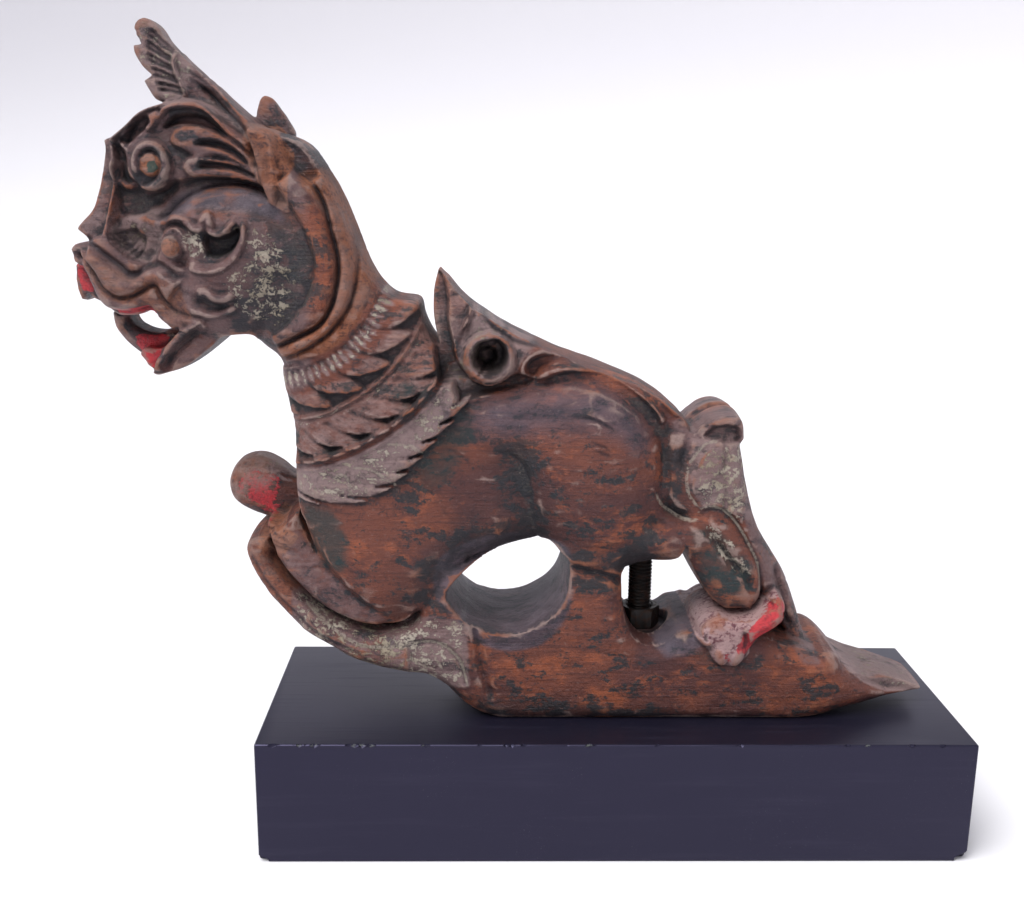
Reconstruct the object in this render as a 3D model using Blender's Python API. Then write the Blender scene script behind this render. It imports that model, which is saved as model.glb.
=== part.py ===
"""Carved cart ornament: a leaping mythical lion over a tapering log, cut from one piece of wood.

A threaded rod holds the carving on a plain display block, and a hexagonal nut clamps the log to it.
The block stands on z = 0 with its length along x. The lion faces -x and its shown side faces -y.

The carving is drawn in its side view, in millimetres of a figure DRAWN_LENGTH long. x is measured from
the middle of the block and z from the block's top. Every mark scales with FIGURE_LENGTH.
"""

import math

import bmesh
import bpy
import numpy as np
import openvdb

# Driving sizes, in metres
FIGURE_LENGTH = 0.4502
BLOCK_LENGTH = 0.362
BLOCK_DEPTH = 0.124
BLOCK_HEIGHT = 0.065
BLOCK_EDGE = 0.0012
ROD_DIAMETER = 0.0127
ROD_X = 0.016
ROD_IN_BLOCK = 0.045
ROD_IN_BELLY = 0.032
NUT_ACROSS_FLATS = 0.019
NUT_THICKNESS = 0.011
POCKET_DIAMETER = 0.031
CLEARANCE = 0.0003

# The figure's own drawing, in millimetres of a figure this long
DRAWN_LENGTH = 450.2
BORE_DRAWN_X = 16.0
POCKET_FLOOR = 39.7
POCKET_TOP = 54.0
BELLY_Z = 79.0

# How finely the figure is carved, in drawn millimetres, and how many triangles it keeps
BOARD_LOW = (-284.0, -8.0)
BOARD_HIGH = (192.0, 360.0)
CELLS = 238
TRIANGLES = 8800
CURVE_STEPS = 6

# Shape of the wood across its thickness, in drawn millimetres: the far side's share of the relief, how far
# the outline draws in towards the two faces, the beads of the nose and the valley in the top of the tail
FAR_SHARE = 0.7
CROWN = 3.0
BROW_CROWN = 7.0
CROWN_AT = 40.0
NOSE_BEAD = 1.8
NOSE_BEAD_AT = 8.5
NOSE_BEAD_WIDTH = 2.4
TAIL_VALLEY = 4.5
TAIL_VALLEY_AT = 1.0
TAIL_VALLEY_WIDTH = 5.0

# The collar: the centre it is laid round, its front part in degrees, and for each row of leaves where the
# roots and the tips lie, the first leaf's angle, the pitch and how far a leaf sweeps back
COLLAR_CENTRE = (-175, 240)
COLLAR_START = 4
COLLAR_END = -97
LEAF_ROWS = ((60, 82, -14, 12.6, 10), (88, 105, -26, 8.9, 9))
LEAF_LIFT = 4.2
LEAF_TILT = 3.2
LEAF_RIM = 2.2
LEAF_FLUTE = 0.55
COLLAR_RINGS = ((58.5, 2.6, 1.5), (84.0, 2.2, 2.2), (87.5, 1.6, 1.2), (104.5, 2.4, 2.6), (108.5, 1.5, 1.2))
HEM_ROOT = 100
HEM_THICKNESS = 5.8
TOOTH_PITCH = 6.6
TOOTH_DEPTH = 5.4
FAR = 60.0
SHORTEST = 1e-6

SCALE = FIGURE_LENGTH / DRAWN_LENGTH
SEAT_Z = BLOCK_HEIGHT + CLEARANCE
BORE_RADIUS = ROD_DIAMETER / 2 + CLEARANCE


def curve(points, steps=CURVE_STEPS, closed=False):
    """A smooth curve through the points, with steps stretches between each two."""
    knots = np.array(points, float)
    if closed:
        ends = (knots[-1:], knots, knots[:2])
    else:
        ends = (2 * knots[:1] - knots[1:2], knots, 2 * knots[-1:] - knots[-2:-1])
    p = np.concatenate(ends)
    t = np.linspace(0, 1, steps, endpoint=False)[:, None]
    made = []
    for a, b, c, d in zip(p, p[1:], p[2:], p[3:]):
        made.append(0.5 * (2 * b + (c - a) * t + (2 * a - 5 * b + 4 * c - d) * t**2
                           + (3 * b - 3 * c + d - a) * t**3))
    made = np.concatenate(made)
    return made if closed else np.concatenate([made, knots[-1:]])


def arc(centre, radius, start, end, steps=12):
    """Points along an arc, with its angles in degrees from +x towards +z."""
    angles = np.radians(np.linspace(start, end, steps))
    return np.array(centre) + radius * np.column_stack([np.cos(angles), np.sin(angles)])


def smooth_max(a, b, soft):
    """The larger of two heights, with the valley between them filled over a width of soft."""
    overlap = np.maximum(soft - np.abs(a - b), 0) / soft
    return np.maximum(a, b) + overlap**2 * soft / 4


def smooth_step(value, low, high):
    """0 below low, 1 above high, and a smooth rise between them."""
    t = np.clip((value - low) / (high - low), 0, 1)
    return t * t * (3 - 2 * t)


class Board:
    """The carver's board: over an even grid of the side view, how far inside the outline each place is
    (edge, negative outside) and how far the wood reaches from the middle plane (half): half[0] towards
    the shown side and half[1] towards the far side, whose relief is shallower."""

    def __init__(self, step):
        self.step = step
        self.low = BOARD_LOW
        across = np.arange(BOARD_LOW[0], BOARD_HIGH[0], step)
        up = np.arange(BOARD_LOW[1], BOARD_HIGH[1], step)
        self.x, self.z = (g.astype(np.float32) for g in np.meshgrid(across, up, indexing="ij"))
        self.edge = np.full(self.x.shape, -FAR, np.float32)
        self.half = np.zeros((2, *self.x.shape), np.float32)

    def window(self, points, margin):
        """The part of the grid around the points."""
        low = (np.min(points, axis=0) - margin - self.low) / self.step
        high = (np.max(points, axis=0) + margin - self.low) / self.step
        first = np.maximum(low.astype(int), 0)
        last = np.maximum(high.astype(int) + 2, 0)
        return slice(first[0], last[0]), slice(first[1], last[1])

    def along(self, path, margin=14.0, box=None):
        """Distance to a path, share of the way along it, and side: positive left of its direction."""
        box = box or self.window(path, margin)
        x, z = self.x[box], self.z[box]
        best = np.full(x.shape, FAR**2, np.float32)
        share = np.zeros_like(best)
        side = np.ones_like(best)
        lengths = np.maximum(np.hypot(*np.diff(path, axis=0).T), SHORTEST)
        done = 0.0
        for (ax, az), (bx, bz), length in zip(path, path[1:], lengths):
            ux, uz = (bx - ax) / length, (bz - az) / length
            t = np.clip((x - ax) * ux + (z - az) * uz, 0, length)
            dx, dz = x - ax - t * ux, z - az - t * uz
            gap = dx * dx + dz * dz
            nearer = gap < best
            best = np.where(nearer, gap, best)
            share = np.where(nearer, (done + t) / lengths.sum(), share)
            side = np.where(nearer, np.sign(ux * dz - uz * dx), side)
            done += length
        return box, np.sqrt(best), share, side

    def inside(self, outline, margin=14.0):
        """Distance inside a closed outline, negative outside it."""
        closed = np.concatenate([outline, outline[:1]])
        box, distance, _, _ = self.along(closed, margin)
        x, z = self.x[box], self.z[box]
        within = np.zeros(x.shape, bool)
        for (ax, az), (bx, bz) in zip(closed, closed[1:]):
            if az != bz:
                crosses = (az > z) != (bz > z)
                within ^= crosses & (x < (bx - ax) * (z - az) / (bz - az) + ax)
        return box, np.where(within, distance, -distance)

    def carve(self, box, rise):
        """Raises or lowers the surface: in full on the shown side, less deeply on the far side."""
        self.half[0][box] += rise
        self.half[1][box] += rise * FAR_SHARE

    def mass(self, outline, half, rounding, soft=4.0, sides=(0, 1)):
        """Adds wood inside an outline, half thick on the given sides of the middle plane, its rim rounded."""
        box, depth = self.inside(outline)
        if callable(half):
            half = half(self.x[box], self.z[box])
        drop = np.clip(rounding - depth, 0, rounding)
        rise = half - rounding + np.sqrt(rounding**2 - drop**2)
        rise = np.where(depth > 0, rise, 0)
        for side in sides:
            self.half[side][box] = smooth_max(self.half[side][box], rise, soft)
        self.edge[box] = smooth_max(self.edge[box], depth, min(soft, 3.0))

    def dome(self, centre, radii, top, tilt=0.0, base=0.0, soft=4.0, sides=(0, 1)):
        """Adds a rounded swelling: an ellipse whose middle stands top from the middle plane."""
        cos, sin = math.cos(math.radians(tilt)), math.sin(math.radians(tilt))
        box = self.window(np.array([centre]), max(radii))
        dx, dz = self.x[box] - centre[0], self.z[box] - centre[1]
        reach = ((dx * cos + dz * sin) / radii[0])**2 + ((dz * cos - dx * sin) / radii[1])**2
        rise = np.where(reach < 1, base + (top - base) * np.sqrt(np.maximum(1 - reach, 0)), 0)
        for side in sides:
            self.half[side][box] = smooth_max(self.half[side][box], rise, soft)

    def cut(self, outline):
        """Removes the wood inside an outline, right through."""
        box, depth = self.inside(outline)
        self.edge[box] = np.minimum(self.edge[box], -depth)

    def press(self, outline, half, soft=3.0, sides=(0, 1)):
        """Carves the wood inside an outline down to half from the middle plane."""
        box, depth = self.inside(outline)
        if callable(half):
            half = half(self.x[box], self.z[box])
        blend = smooth_step(depth, -soft / 2, soft / 2)
        for side in sides:
            lower = np.minimum(self.half[side][box], half)
            self.half[side][box] += (lower - self.half[side][box]) * blend

    def sink(self, outline, depth, soft=3.0):
        """Lowers the surface inside an outline by an even depth."""
        box, within = self.inside(outline)
        self.carve(box, -depth * smooth_step(within, -soft / 2, soft / 2))

    def groove(self, path, width, depth, taper=0.15):
        """Carves a rounded furrow along a path, or with a negative depth raises a bead."""
        box, distance, share, _ = self.along(path, width * 2)
        ends = smooth_step(share, 0, taper) * smooth_step(1 - share, 0, taper) if taper else 1
        across = np.maximum(1 - distance / (width * 0.8), 0)
        self.carve(box, -depth * ends * across**1.2)

    def band(self, first, second, height):
        """Swells the strip between two paths that run the same way into a roll."""
        outline = np.concatenate([first, second[::-1]])
        box, depth = self.inside(outline)
        _, to_first, _, _ = self.along(first, box=box)
        _, to_second, _, _ = self.along(second, box=box)
        across = (to_first - to_second) / np.maximum(to_first + to_second, 0.01)
        profile = np.sqrt(np.maximum(1 - across**2, 0)) * np.clip(depth / 1.5, 0, 1)
        self.carve(box, np.where(depth > 0, height * profile, 0))

    def roll(self, path, widths, height, taper=0.0):
        """Lays a rounded band along a path: widths are its half-widths at the start and the end."""
        box, distance, share, _ = self.along(path, max(widths) + 4)
        reach = widths[0] + (widths[1] - widths[0]) * share
        profile = np.sqrt(np.maximum(1 - (distance / reach)**2, 0))
        ends = smooth_step(share, 0, taper) * smooth_step(1 - share, 0, taper) if taper else 1
        self.carve(box, height * ends * profile)

    def polar(self, centre):
        """Distance from a centre and angle round it, in degrees from +x towards +z."""
        dx, dz = self.x - centre[0], self.z - centre[1]
        return np.hypot(dx, dz), np.degrees(np.arctan2(dz, dx))


def carve_log(board):
    """The log under the lion: scroll strip at the left, scoop, post, nut recess and raw wedge at its end."""
    low = curve([(-183, 96), (-188, 93), (-189, 87), (-186, 78), (-180, 67), (-171, 56), (-160, 45),
                 (-148, 38), (-136, 31), (-122, 26), (-108, 23), (-98, 22), (-89, 17), (-80, 8), (-70, 1),
                 (-58, -3)])
    tip = curve([(94, -3), (104, -2), (114, 0.5), (131, 3.5), (150, 6.5), (166, 8.5), (168, 9.5), (166, 11),
                 (158, 14), (147, 17.5), (136, 20), (128, 23)])
    top = curve([(121, 26), (119, 32), (112, 36), (104, 36), (92, 40), (72, 46), (56, 49), (44, 49), (34, 48),
                 (28, 44), (20, 41), (13, 43), (8, 50), (5, 60), (4, 72)])
    rise = np.array([(4, 92), (-30, 96)])
    strip = curve([(-88, 80), (-97, 60), (-108, 51), (-122, 47), (-140, 52), (-156, 64), (-170, 79),
                   (-177, 96)])
    outline = np.concatenate([low, tip, top, rise, strip])
    board.mass(outline, lambda x, z: 34.5 - 12 * smooth_step(x, 100, 170) - 5 * smooth_step(-x, 130, 184), 10)
    board.cut(curve([(-94, 99), (-88, 75), (-82.5, 62), (-73, 53), (-61, 49), (-47, 50.5), (-34, 58),
                     (-27.5, 69), (-26, 87), (-28, 99)]))
    board.press(np.array([(112, 40), (119, 28), (131, 17.5), (147, 11), (166, 9), (190, 9), (190, 44)]),
                lambda x, z: 25 - 8 * smooth_step(x, 125, 160), soft=4)
    board.groove(curve([(-74, 58), (-71, 46), (-69, 31), (-66, 20), (-62, 10)]), 4, 2.5, taper=0.1)
    board.groove(curve([(-28, 84), (-9, 79), (-2, 77), (4, 73)]), 4, 3.5, taper=0.1)
    board.band(curve([(-157, 60), (-148, 52), (-135, 43), (-126, 40), (-114, 40), (-105, 42)]),
               curve([(-162, 47), (-148, 39), (-135, 33), (-124, 29), (-114, 27), (-105, 26)]), 1.6)
    board.groove(curve([(-107, 41), (-95, 43), (-87, 40), (-80, 33), (-77, 24), (-76, 17)]), 2.4, 1.2)


def carve_hind_leg(board):
    """The shank from the knee down to the foot on the log, and the broad leafy tail behind it."""
    crown = curve([(12, 146), (20, 150), (28, 153), (36, 152), (40, 155), (46, 159), (53, 161), (59, 160),
                   (62, 156), (63, 148)])
    back = curve([(61, 145), (63, 136), (65, 126), (68, 115), (71, 106), (76, 96), (81, 88), (87, 79),
                  (92, 69), (97, 56), (102, 42), (108, 27)])
    front = curve([(96, 33), (88, 50), (80, 62), (60, 72), (36, 92), (16, 108), (8, 130)])
    board.mass(np.concatenate([crown, back, front]), lambda x, z: 30 - 13 * smooth_step(x, 62, 98), 8, soft=3)
    leaf = curve([(51, 151), (46, 147), (40, 142), (36, 134), (35, 125), (37, 118), (42, 112)])
    spine = curve([(51, 151), (52, 142), (52, 134), (53, 124), (53, 112)])
    board.band(leaf, spine, 1.6)
    board.band(spine, curve([(60, 147), (62, 136), (64, 124), (65, 112), (63, 104)]), 1.2)
    board.roll(curve([(33, 151), (34, 155), (37, 158), (42, 159), (48, 159), (54, 159.5), (58, 156)]), (3, 4),
               4, taper=0.12)
    board.sink(curve([(42, 150), (46, 154), (52, 155.5), (58, 154), (59, 148), (52, 147)], closed=True), 3.6,
               soft=2)
    board.groove(curve([(34, 153), (33, 146), (31, 139), (31, 130)]), 4, 2.0, taper=0.3)

    shank_front = curve([(29, 108), (32, 96), (35, 86), (40, 76), (47, 65), (56, 58)])
    shank_back = curve([(41, 111), (46, 113), (52, 112), (58, 107), (64, 98), (70, 88), (74, 78), (75, 66),
                        (70, 58)])
    board.mass(np.concatenate([shank_front, shank_back[::-1]]), 34.5, 11, soft=2)
    board.groove(curve([(40, 106), (47, 100), (53, 92), (59, 84), (66, 77), (70, 68)]), 4.5, 3.4, taper=0.15)
    board.groove(shank_back, 2.6, 1.8, taper=0.1)
    board.groove(curve([(82, 82), (85, 72), (89, 62), (91, 51), (96, 42)]), 4, 4, taper=0.15)

    foot = curve([(41, 52), (45, 57), (52, 60), (60, 58), (68, 59), (76, 64), (82, 68), (86, 65), (86.5, 57),
                  (83.5, 52), (76, 47), (71, 42), (67.5, 36), (62, 32), (56, 31.5), (51, 35), (47.5, 40),
                  (43.5, 42), (41, 46)], closed=True)
    board.mass(foot, 39.5, 9, soft=1.5, sides=(0,))
    board.mass(foot + (4, -8), 36, 6, soft=2, sides=(1,))
    board.band(curve([(63, 53), (69, 56), (76, 61), (82.5, 67)]), curve([(68, 43), (72, 46), (79.5, 50.5),
                                                                         (86, 58)]), 2.2)
    board.groove(curve([(62, 50), (66, 54), (71, 57), (77, 62), (83, 67)]), 3.0, -1.6, taper=0.1)
    board.groove(curve([(65, 51), (66, 44), (65, 38)]), 2.8, 1.8)
    for toe, lean in (((53.5, 38), 12), ((62, 37.5), -10)):
        board.dome(toe, (4.4, 7.5), 40, tilt=lean, base=34, soft=1.2, sides=(0,))
    board.roll(curve([(43, 52), (42.5, 47), (45.5, 43), (49, 46)]), (2.2, 1.6), 2.6, taper=0.2)
    board.groove(curve([(37, 106), (28, 110), (21, 119), (21, 132), (21, 141), (20, 149), (15, 160)]), 6, 6,
                 taper=0.1)


def carve_wing(board):
    """The upright leaf behind the collar, its bored boss and the scroll that runs back along the spine."""
    front = curve([(-91, 230), (-93.5, 218), (-93, 203), (-88, 188), (-77, 174), (-64, 171)])
    low = curve([(-50, 174), (-30, 174), (0, 164), (22, 140)])
    top = curve([(36, 152), (34, 156), (28, 162), (20, 168), (11, 173), (-8, 181), (-28, 188), (-44, 195),
                 (-58, 202), (-76, 214), (-86, 225)])
    board.mass(np.concatenate([front, low, top]), lambda x, z: 25 - 10 * smooth_step(z, 185, 232), 5, soft=2)
    bevel = curve([(-88.5, 228), (-87, 221), (-86, 214), (-86, 206), (-84, 196), (-82, 187), (-78, 181),
                   (-73, 177)])
    board.press(np.concatenate([[(-98, 232)], bevel, [(-90, 176)]]),
                lambda x, z: 16 - 8 * smooth_step(z, 185, 232), soft=1.5)
    board.groove(curve([(-73.4, 218), (-69, 209), (-63, 202), (-54, 196.5), (-45, 194), (-37, 194),
                        (-28, 194)]), 2.4, 2.8, taper=0.06)
    board.groove(curve([(-66.5, 212.5), (-60, 206.5), (-51, 202), (-43, 199.5), (-38, 197)]), 2.0, 2.2,
                 taper=0.1)
    board.press(np.array([(-80, 167), (-69, 170), (-57, 172), (-47, 174), (-43, 177), (-51, 180), (-58, 177),
                          (-66, 175), (-73, 176), (-78, 180), (-84, 178)]), 20, soft=2)
    board.dome((-65.8, 187.3), (13.4, 13.4), 31, base=27, soft=1)
    board.roll(arc((-65.8, 188.3), 10.8, -180, 180, 24), (1.8, 1.8), 1.6)
    board.press(curve([(-73.4, 187.5), (-71.5, 194), (-66.5, 196), (-61.5, 196.6), (-57.8, 192), (-58, 186),
                       (-61, 182), (-66.3, 181), (-71, 182.3)], closed=True), 16, soft=3)
    board.press(arc((-67, 187), 5, 0, 330, 9), 8, soft=2)
    outer = curve([(-51, 179), (-51, 184), (-48, 189), (-43, 192), (-35, 193), (-25, 192), (-16, 189.5),
                   (-7, 186), (2, 181.5), (11, 176.5), (19, 171), (25.5, 164.5), (31, 158)])
    inner = curve([(-47, 179), (-47, 184), (-43.6, 188), (-36.7, 190), (-30, 190), (-23.6, 189), (-15.6, 186),
                   (-7, 182.7), (2, 178.7), (11, 173.4), (18.4, 167), (25.5, 159.5)])
    board.band(outer, inner, 3.6)
    board.sink(curve([(-46, 179), (-46.5, 184), (-43, 187.5), (-36.7, 189), (-29.7, 189), (-21, 187),
                      (-25, 186), (-33, 185.5), (-39.5, 183), (-42.6, 179.5)], closed=True), 3.5, soft=1.5)
    tongue = curve([(-39, 182), (-34, 184), (-25, 185), (-16, 183.5), (-7, 180.5), (2, 176), (11, 170.5),
                    (18.5, 164), (23, 158)])
    under = curve([(-44, 176.5), (-38, 177.5), (-29.5, 180), (-21, 180.5), (-12, 180), (-3, 176.5),
                   (6, 170.8), (14, 163.5), (20, 154)])
    board.band(tongue, under, 3.6)


def carve_body(board):
    """Trunk, chest, shoulder and the great round haunch."""
    back = [(-104, 198), (-80, 180), (-64, 180), (-46, 180), (-28, 181), (-10, 178), (5, 171), (16, 160)]
    rump = [(22, 146), (22, 130), (20, 116), (28, 108), (36, 103), (35, 92), (29, 84), (8, 79), (-16, 80),
            (-28, 87)]
    belly = [(-35, 94), (-43, 92.5), (-54.5, 89.5), (-65, 85.5), (-72.5, 81.5), (-80.5, 74.5), (-86, 67.5),
             (-92, 60), (-100, 54), (-110, 50)]
    chest = [(-128, 51), (-142, 62), (-150, 80), (-157, 100), (-161, 118), (-162, 150), (-164, 190)]
    board.mass(curve(back + rump + belly + chest, closed=True), 33, 22, soft=6)
    board.dome((-13, 128), (38, 54), 41, tilt=12, base=16, soft=9)
    board.dome((-122, 92), (42, 54), 37, tilt=30, base=18, soft=12)
    board.dome((28, 96), (22, 12), 36.5, tilt=8, base=20, soft=8)
    board.groove(curve([(-70, 146), (-59, 141), (-52, 133), (-48, 121), (-46, 106), (-42, 90)]), 20, 3.0,
                 taper=0.3)
    board.groove(curve([(-58, 143), (-51, 137), (-46, 127), (-43.5, 113), (-41, 98)]), 5, 1.2, taper=0.2)
    board.groove(curve([(-80, 163), (-65, 168), (-49, 172), (-34, 176), (-24, 178), (-10, 175), (2, 169),
                        (12, 160), (17, 150)]), 5.5, 3.2, taper=0.1)


def carve_forelegs(board):
    """The near forearm runs down to the elbow behind the scroll strip; its paw is broken off."""
    upper = curve([(-162, 110), (-159, 104), (-154, 94), (-147, 82), (-138, 71), (-128, 62), (-116, 56)])
    lower = curve([(-176, 97), (-171, 81), (-162, 70), (-150, 58), (-136, 50), (-120, 46)])
    board.mass(np.concatenate([upper, lower[::-1]]), 32, 8, soft=2)
    board.groove(upper, 4.5, 3.0, taper=0.2)
    board.groove(curve([(-179, 91), (-173, 83), (-165, 72), (-154, 60), (-140, 52), (-127, 48), (-113, 48),
                        (-104, 52), (-99, 60)]), 4.2, 10, taper=0.08)
    board.groove(curve([(-186, 88), (-176, 70), (-160, 53), (-146, 43), (-128, 36)]), 2.2, 1.4, taper=0.1)
    stump = np.array([(-179, 102), (-174, 101), (-166, 99), (-161, 112), (-157, 92), (-172, 90), (-178, 94)])
    board.mass(stump, 20, 3, soft=1.5)


def hem_edge(radius, angle):
    """How far the collar's broad outer leaf reaches, cut into slanting points, and the place along one."""
    tooth = ((angle - 0.8 * (radius - 124) + 67) / TOOTH_PITCH) % 1
    reach = 118.5 + 8.5 * np.exp(-((angle + 66) / 13)**2)
    return reach + TOOTH_DEPTH * (0.6 * np.minimum(tooth / 0.35, 1) + 0.4 * tooth) - 0.6, tooth


def leaf_spots(radius, angle, row):
    """For a row of the collar's leaves: the share of the way from root to tip, the place across the leaves,
    counted in leaves, and a leaf's two rims."""
    root, tip, first, pitch, sweep = row
    share = np.clip((radius - root) / (tip - root), 0, 1)
    turned = (first - angle - (1 - share) * sweep) / pitch
    point = np.clip((share - 0.5) / 0.5, 0, 1)
    return share, turned, 0.12 * point**3, 1 - 0.72 * point**1.8


def carve_collar(board):
    """Neck, and the three tiers of the leafy collar laid round it."""
    neck = curve([(-160, 108), (-162, 150), (-164, 170), (-169, 186), (-180, 197), (-192, 230), (-178, 284),
                  (-158, 291), (-142, 270), (-132, 247), (-124, 228), (-114, 217), (-101, 214), (-98, 205),
                  (-93, 195), (-82, 180), (-88, 145), (-112, 121), (-140, 112)], closed=True)
    board.mass(neck, 33, 18, soft=5)
    radius, angle = board.polar(COLLAR_CENTRE)
    front = (angle < COLLAR_START) & (angle > COLLAR_END)
    half, rounding = 33, 18
    rim = np.clip(rounding - np.maximum(board.edge, 0), 0, rounding)
    round_neck = half - rounding + np.sqrt(rounding**2 - rim**2)
    edge, tooth = hem_edge(radius, angle)
    raised = round_neck + HEM_THICKNESS - 1.8 * (1 - tooth) * smooth_step(radius, 112, 128)
    plate = front & (radius > HEM_ROOT) & (radius < edge)
    board.half = np.where(plate, np.maximum(board.half, raised), board.half)
    tiers = front & (radius >= 58) & (radius <= 103)
    board.half = np.where(tiers, round_neck, board.half)
    for row in LEAF_ROWS:
        share, turned, upper, lower = leaf_spots(radius, angle, row)
        across = turned % 1
        leaf = front & (share > 0) & (share < 1) & (across > upper) & (across < lower)
        rim = np.minimum(np.minimum(across - upper, lower - across) * 8, 1)
        rise = 0.3 + LEAF_LIFT * share**0.7 + LEAF_TILT * (across - 0.4) * share
        rise += LEAF_RIM * (np.sqrt(np.maximum(rim, 0)) - 1)
        flutes = LEAF_FLUTE * np.cos(turned * 8 * math.pi) * (1 - 0.5 * share)
        board.carve(..., np.where(leaf, rise + flutes, 0))
    for ring, width, height in COLLAR_RINGS:
        board.carve(..., np.where(front, height * np.exp(-((radius - ring) / (width / 2))**2), 0))


def carve_head(board):
    """Skull with its great cheek, the mane rolled round it, snout, lips and open jaw."""
    skull = curve([(-250, 290), (-246, 292), (-238, 298), (-230, 304), (-219, 307), (-205, 308), (-184, 299),
                   (-160, 290), (-142, 269), (-131, 235), (-140, 205), (-162, 190), (-180, 198), (-200, 199),
                   (-218, 204), (-229, 212), (-244, 212), (-254, 220), (-262, 232), (-261, 242), (-266, 248),
                   (-258, 257), (-255, 264), (-252, 274), (-250, 284)], closed=True)
    board.mass(skull, 25, 10, soft=3)
    jaw = np.concatenate([curve([(-186, 212), (-200, 206), (-211, 202), (-217, 200), (-221, 196), (-227, 191),
                                 (-236, 190), (-239, 187)]), curve([(-235, 181), (-229, 177), (-223, 178),
                                                                    (-213, 182), (-201, 191), (-194, 196),
                                                                    (-178, 198)])])
    board.mass(jaw, 25, 4, soft=2)
    above_cheek = curve([(-229, 254), (-224, 262), (-216, 268), (-206, 272), (-195, 273.5), (-183, 272.5),
                         (-174, 269), (-168, 264), (-180, 262), (-200, 262), (-216, 254)], closed=True)
    board.press(above_cheek, 19, soft=4)
    board.dome((-188, 231.5), (38.5, 38), 38, base=20, soft=1.5)
    carve_mane(board)
    carve_face(board)
    carve_mouth(board)
    carve_eye(board)
    carve_brow(board)
    carve_crest(board)


def carve_mane(board):
    """Two thick rolls and a flat border that sweep from the ear round the cheek to the throat."""
    creases = [curve([(-166, 270), (-160, 260), (-154, 250), (-151, 242), (-149, 233), (-151, 223),
                      (-155, 214), (-162, 206), (-171, 199)]), curve([(-157, 277), (-149, 270), (-144, 261),
                                                                      (-141, 250), (-138, 238), (-137.5, 227),
                                                                      (-140.5, 214), (-147, 204), (-158, 198),
                                                                      (-169, 193)]), curve([(-146, 277),
                                                                                            (-139, 267),
                                                                                            (-133, 253),
                                                                                            (-130, 240),
                                                                                            (-129, 230),
                                                                                            (-132, 215),
                                                                                            (-141, 202),
                                                                                            (-153, 193),
                                                                                            (-166, 187)]),
               curve([(-137, 270), (-131, 260), (-126, 246), (-121, 230), (-123, 217), (-130, 203),
                      (-141, 193), (-152, 187), (-165, 184)])]
    for inner, outer, height in zip(creases, creases[1:], (5.0, 5.5, 2.2)):
        board.band(inner, outer, height)
    board.groove(creases[1], 2.4, 2.0, taper=0.1)
    board.groove(creases[2], 2.0, 1.2, taper=0.1)
    stub = curve([(-178, 294), (-170, 295), (-165.5, 287), (-165, 278), (-163, 275), (-165, 267),
                  (-166.5, 260), (-170, 264), (-172.5, 271), (-175, 282)], closed=True)
    board.mass(stub, 37, 3, soft=0.8, sides=(0,))
    board.press(curve([(-164, 290), (-156, 287), (-146, 275), (-152, 271), (-160, 279)], closed=True), 21,
                soft=4)


def carve_face(board):
    """Nose plate down the middle, the dark hollow beside it and the fan of wrinkles below."""
    hollow = curve([(-244, 288), (-243, 279), (-243, 269), (-244, 261), (-242, 254), (-232, 254), (-225, 258),
                    (-220, 263), (-213, 270), (-226, 268), (-236, 272), (-238, 284)], closed=True)
    board.press(hollow, 16, soft=4)
    slope = curve([(-243, 256), (-246, 248), (-243, 240), (-236, 234), (-229, 232), (-223, 242), (-222, 254),
                   (-232, 257)], closed=True)
    board.press(slope, lambda x, z: 25 - 8 * smooth_step(np.hypot(x + 222, z - 256), 0, 24), soft=6)
    plate = np.array([(-266, 300), (-247, 300), (-244.5, 288), (-244, 269), (-247, 256), (-251, 245),
                      (-258, 242), (-276, 240)])
    board.press(plate, 17, soft=2)
    board.groove(curve([(-246, 290), (-244.5, 279), (-244.5, 269), (-246, 259), (-249, 250)]), 2.4, -2.2,
                 taper=0.1)
    rim = curve([(-248, 245.5), (-247.5, 242.5), (-245.5, 240), (-243, 237.5), (-239.5, 235.5),
                 (-236, 233.5)])
    hub = np.array((-229, 249))
    for share in np.linspace(0.02, 0.98, 7):
        outer = rim[int(share * (len(rim) - 1))]
        inner = hub + 0.25 * (outer - hub)
        middle = (outer + inner) / 2 + (0.9, -0.6)
        board.groove(curve([inner, middle, outer], steps=3), 1.8, 2.8, taper=0.2)


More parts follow.
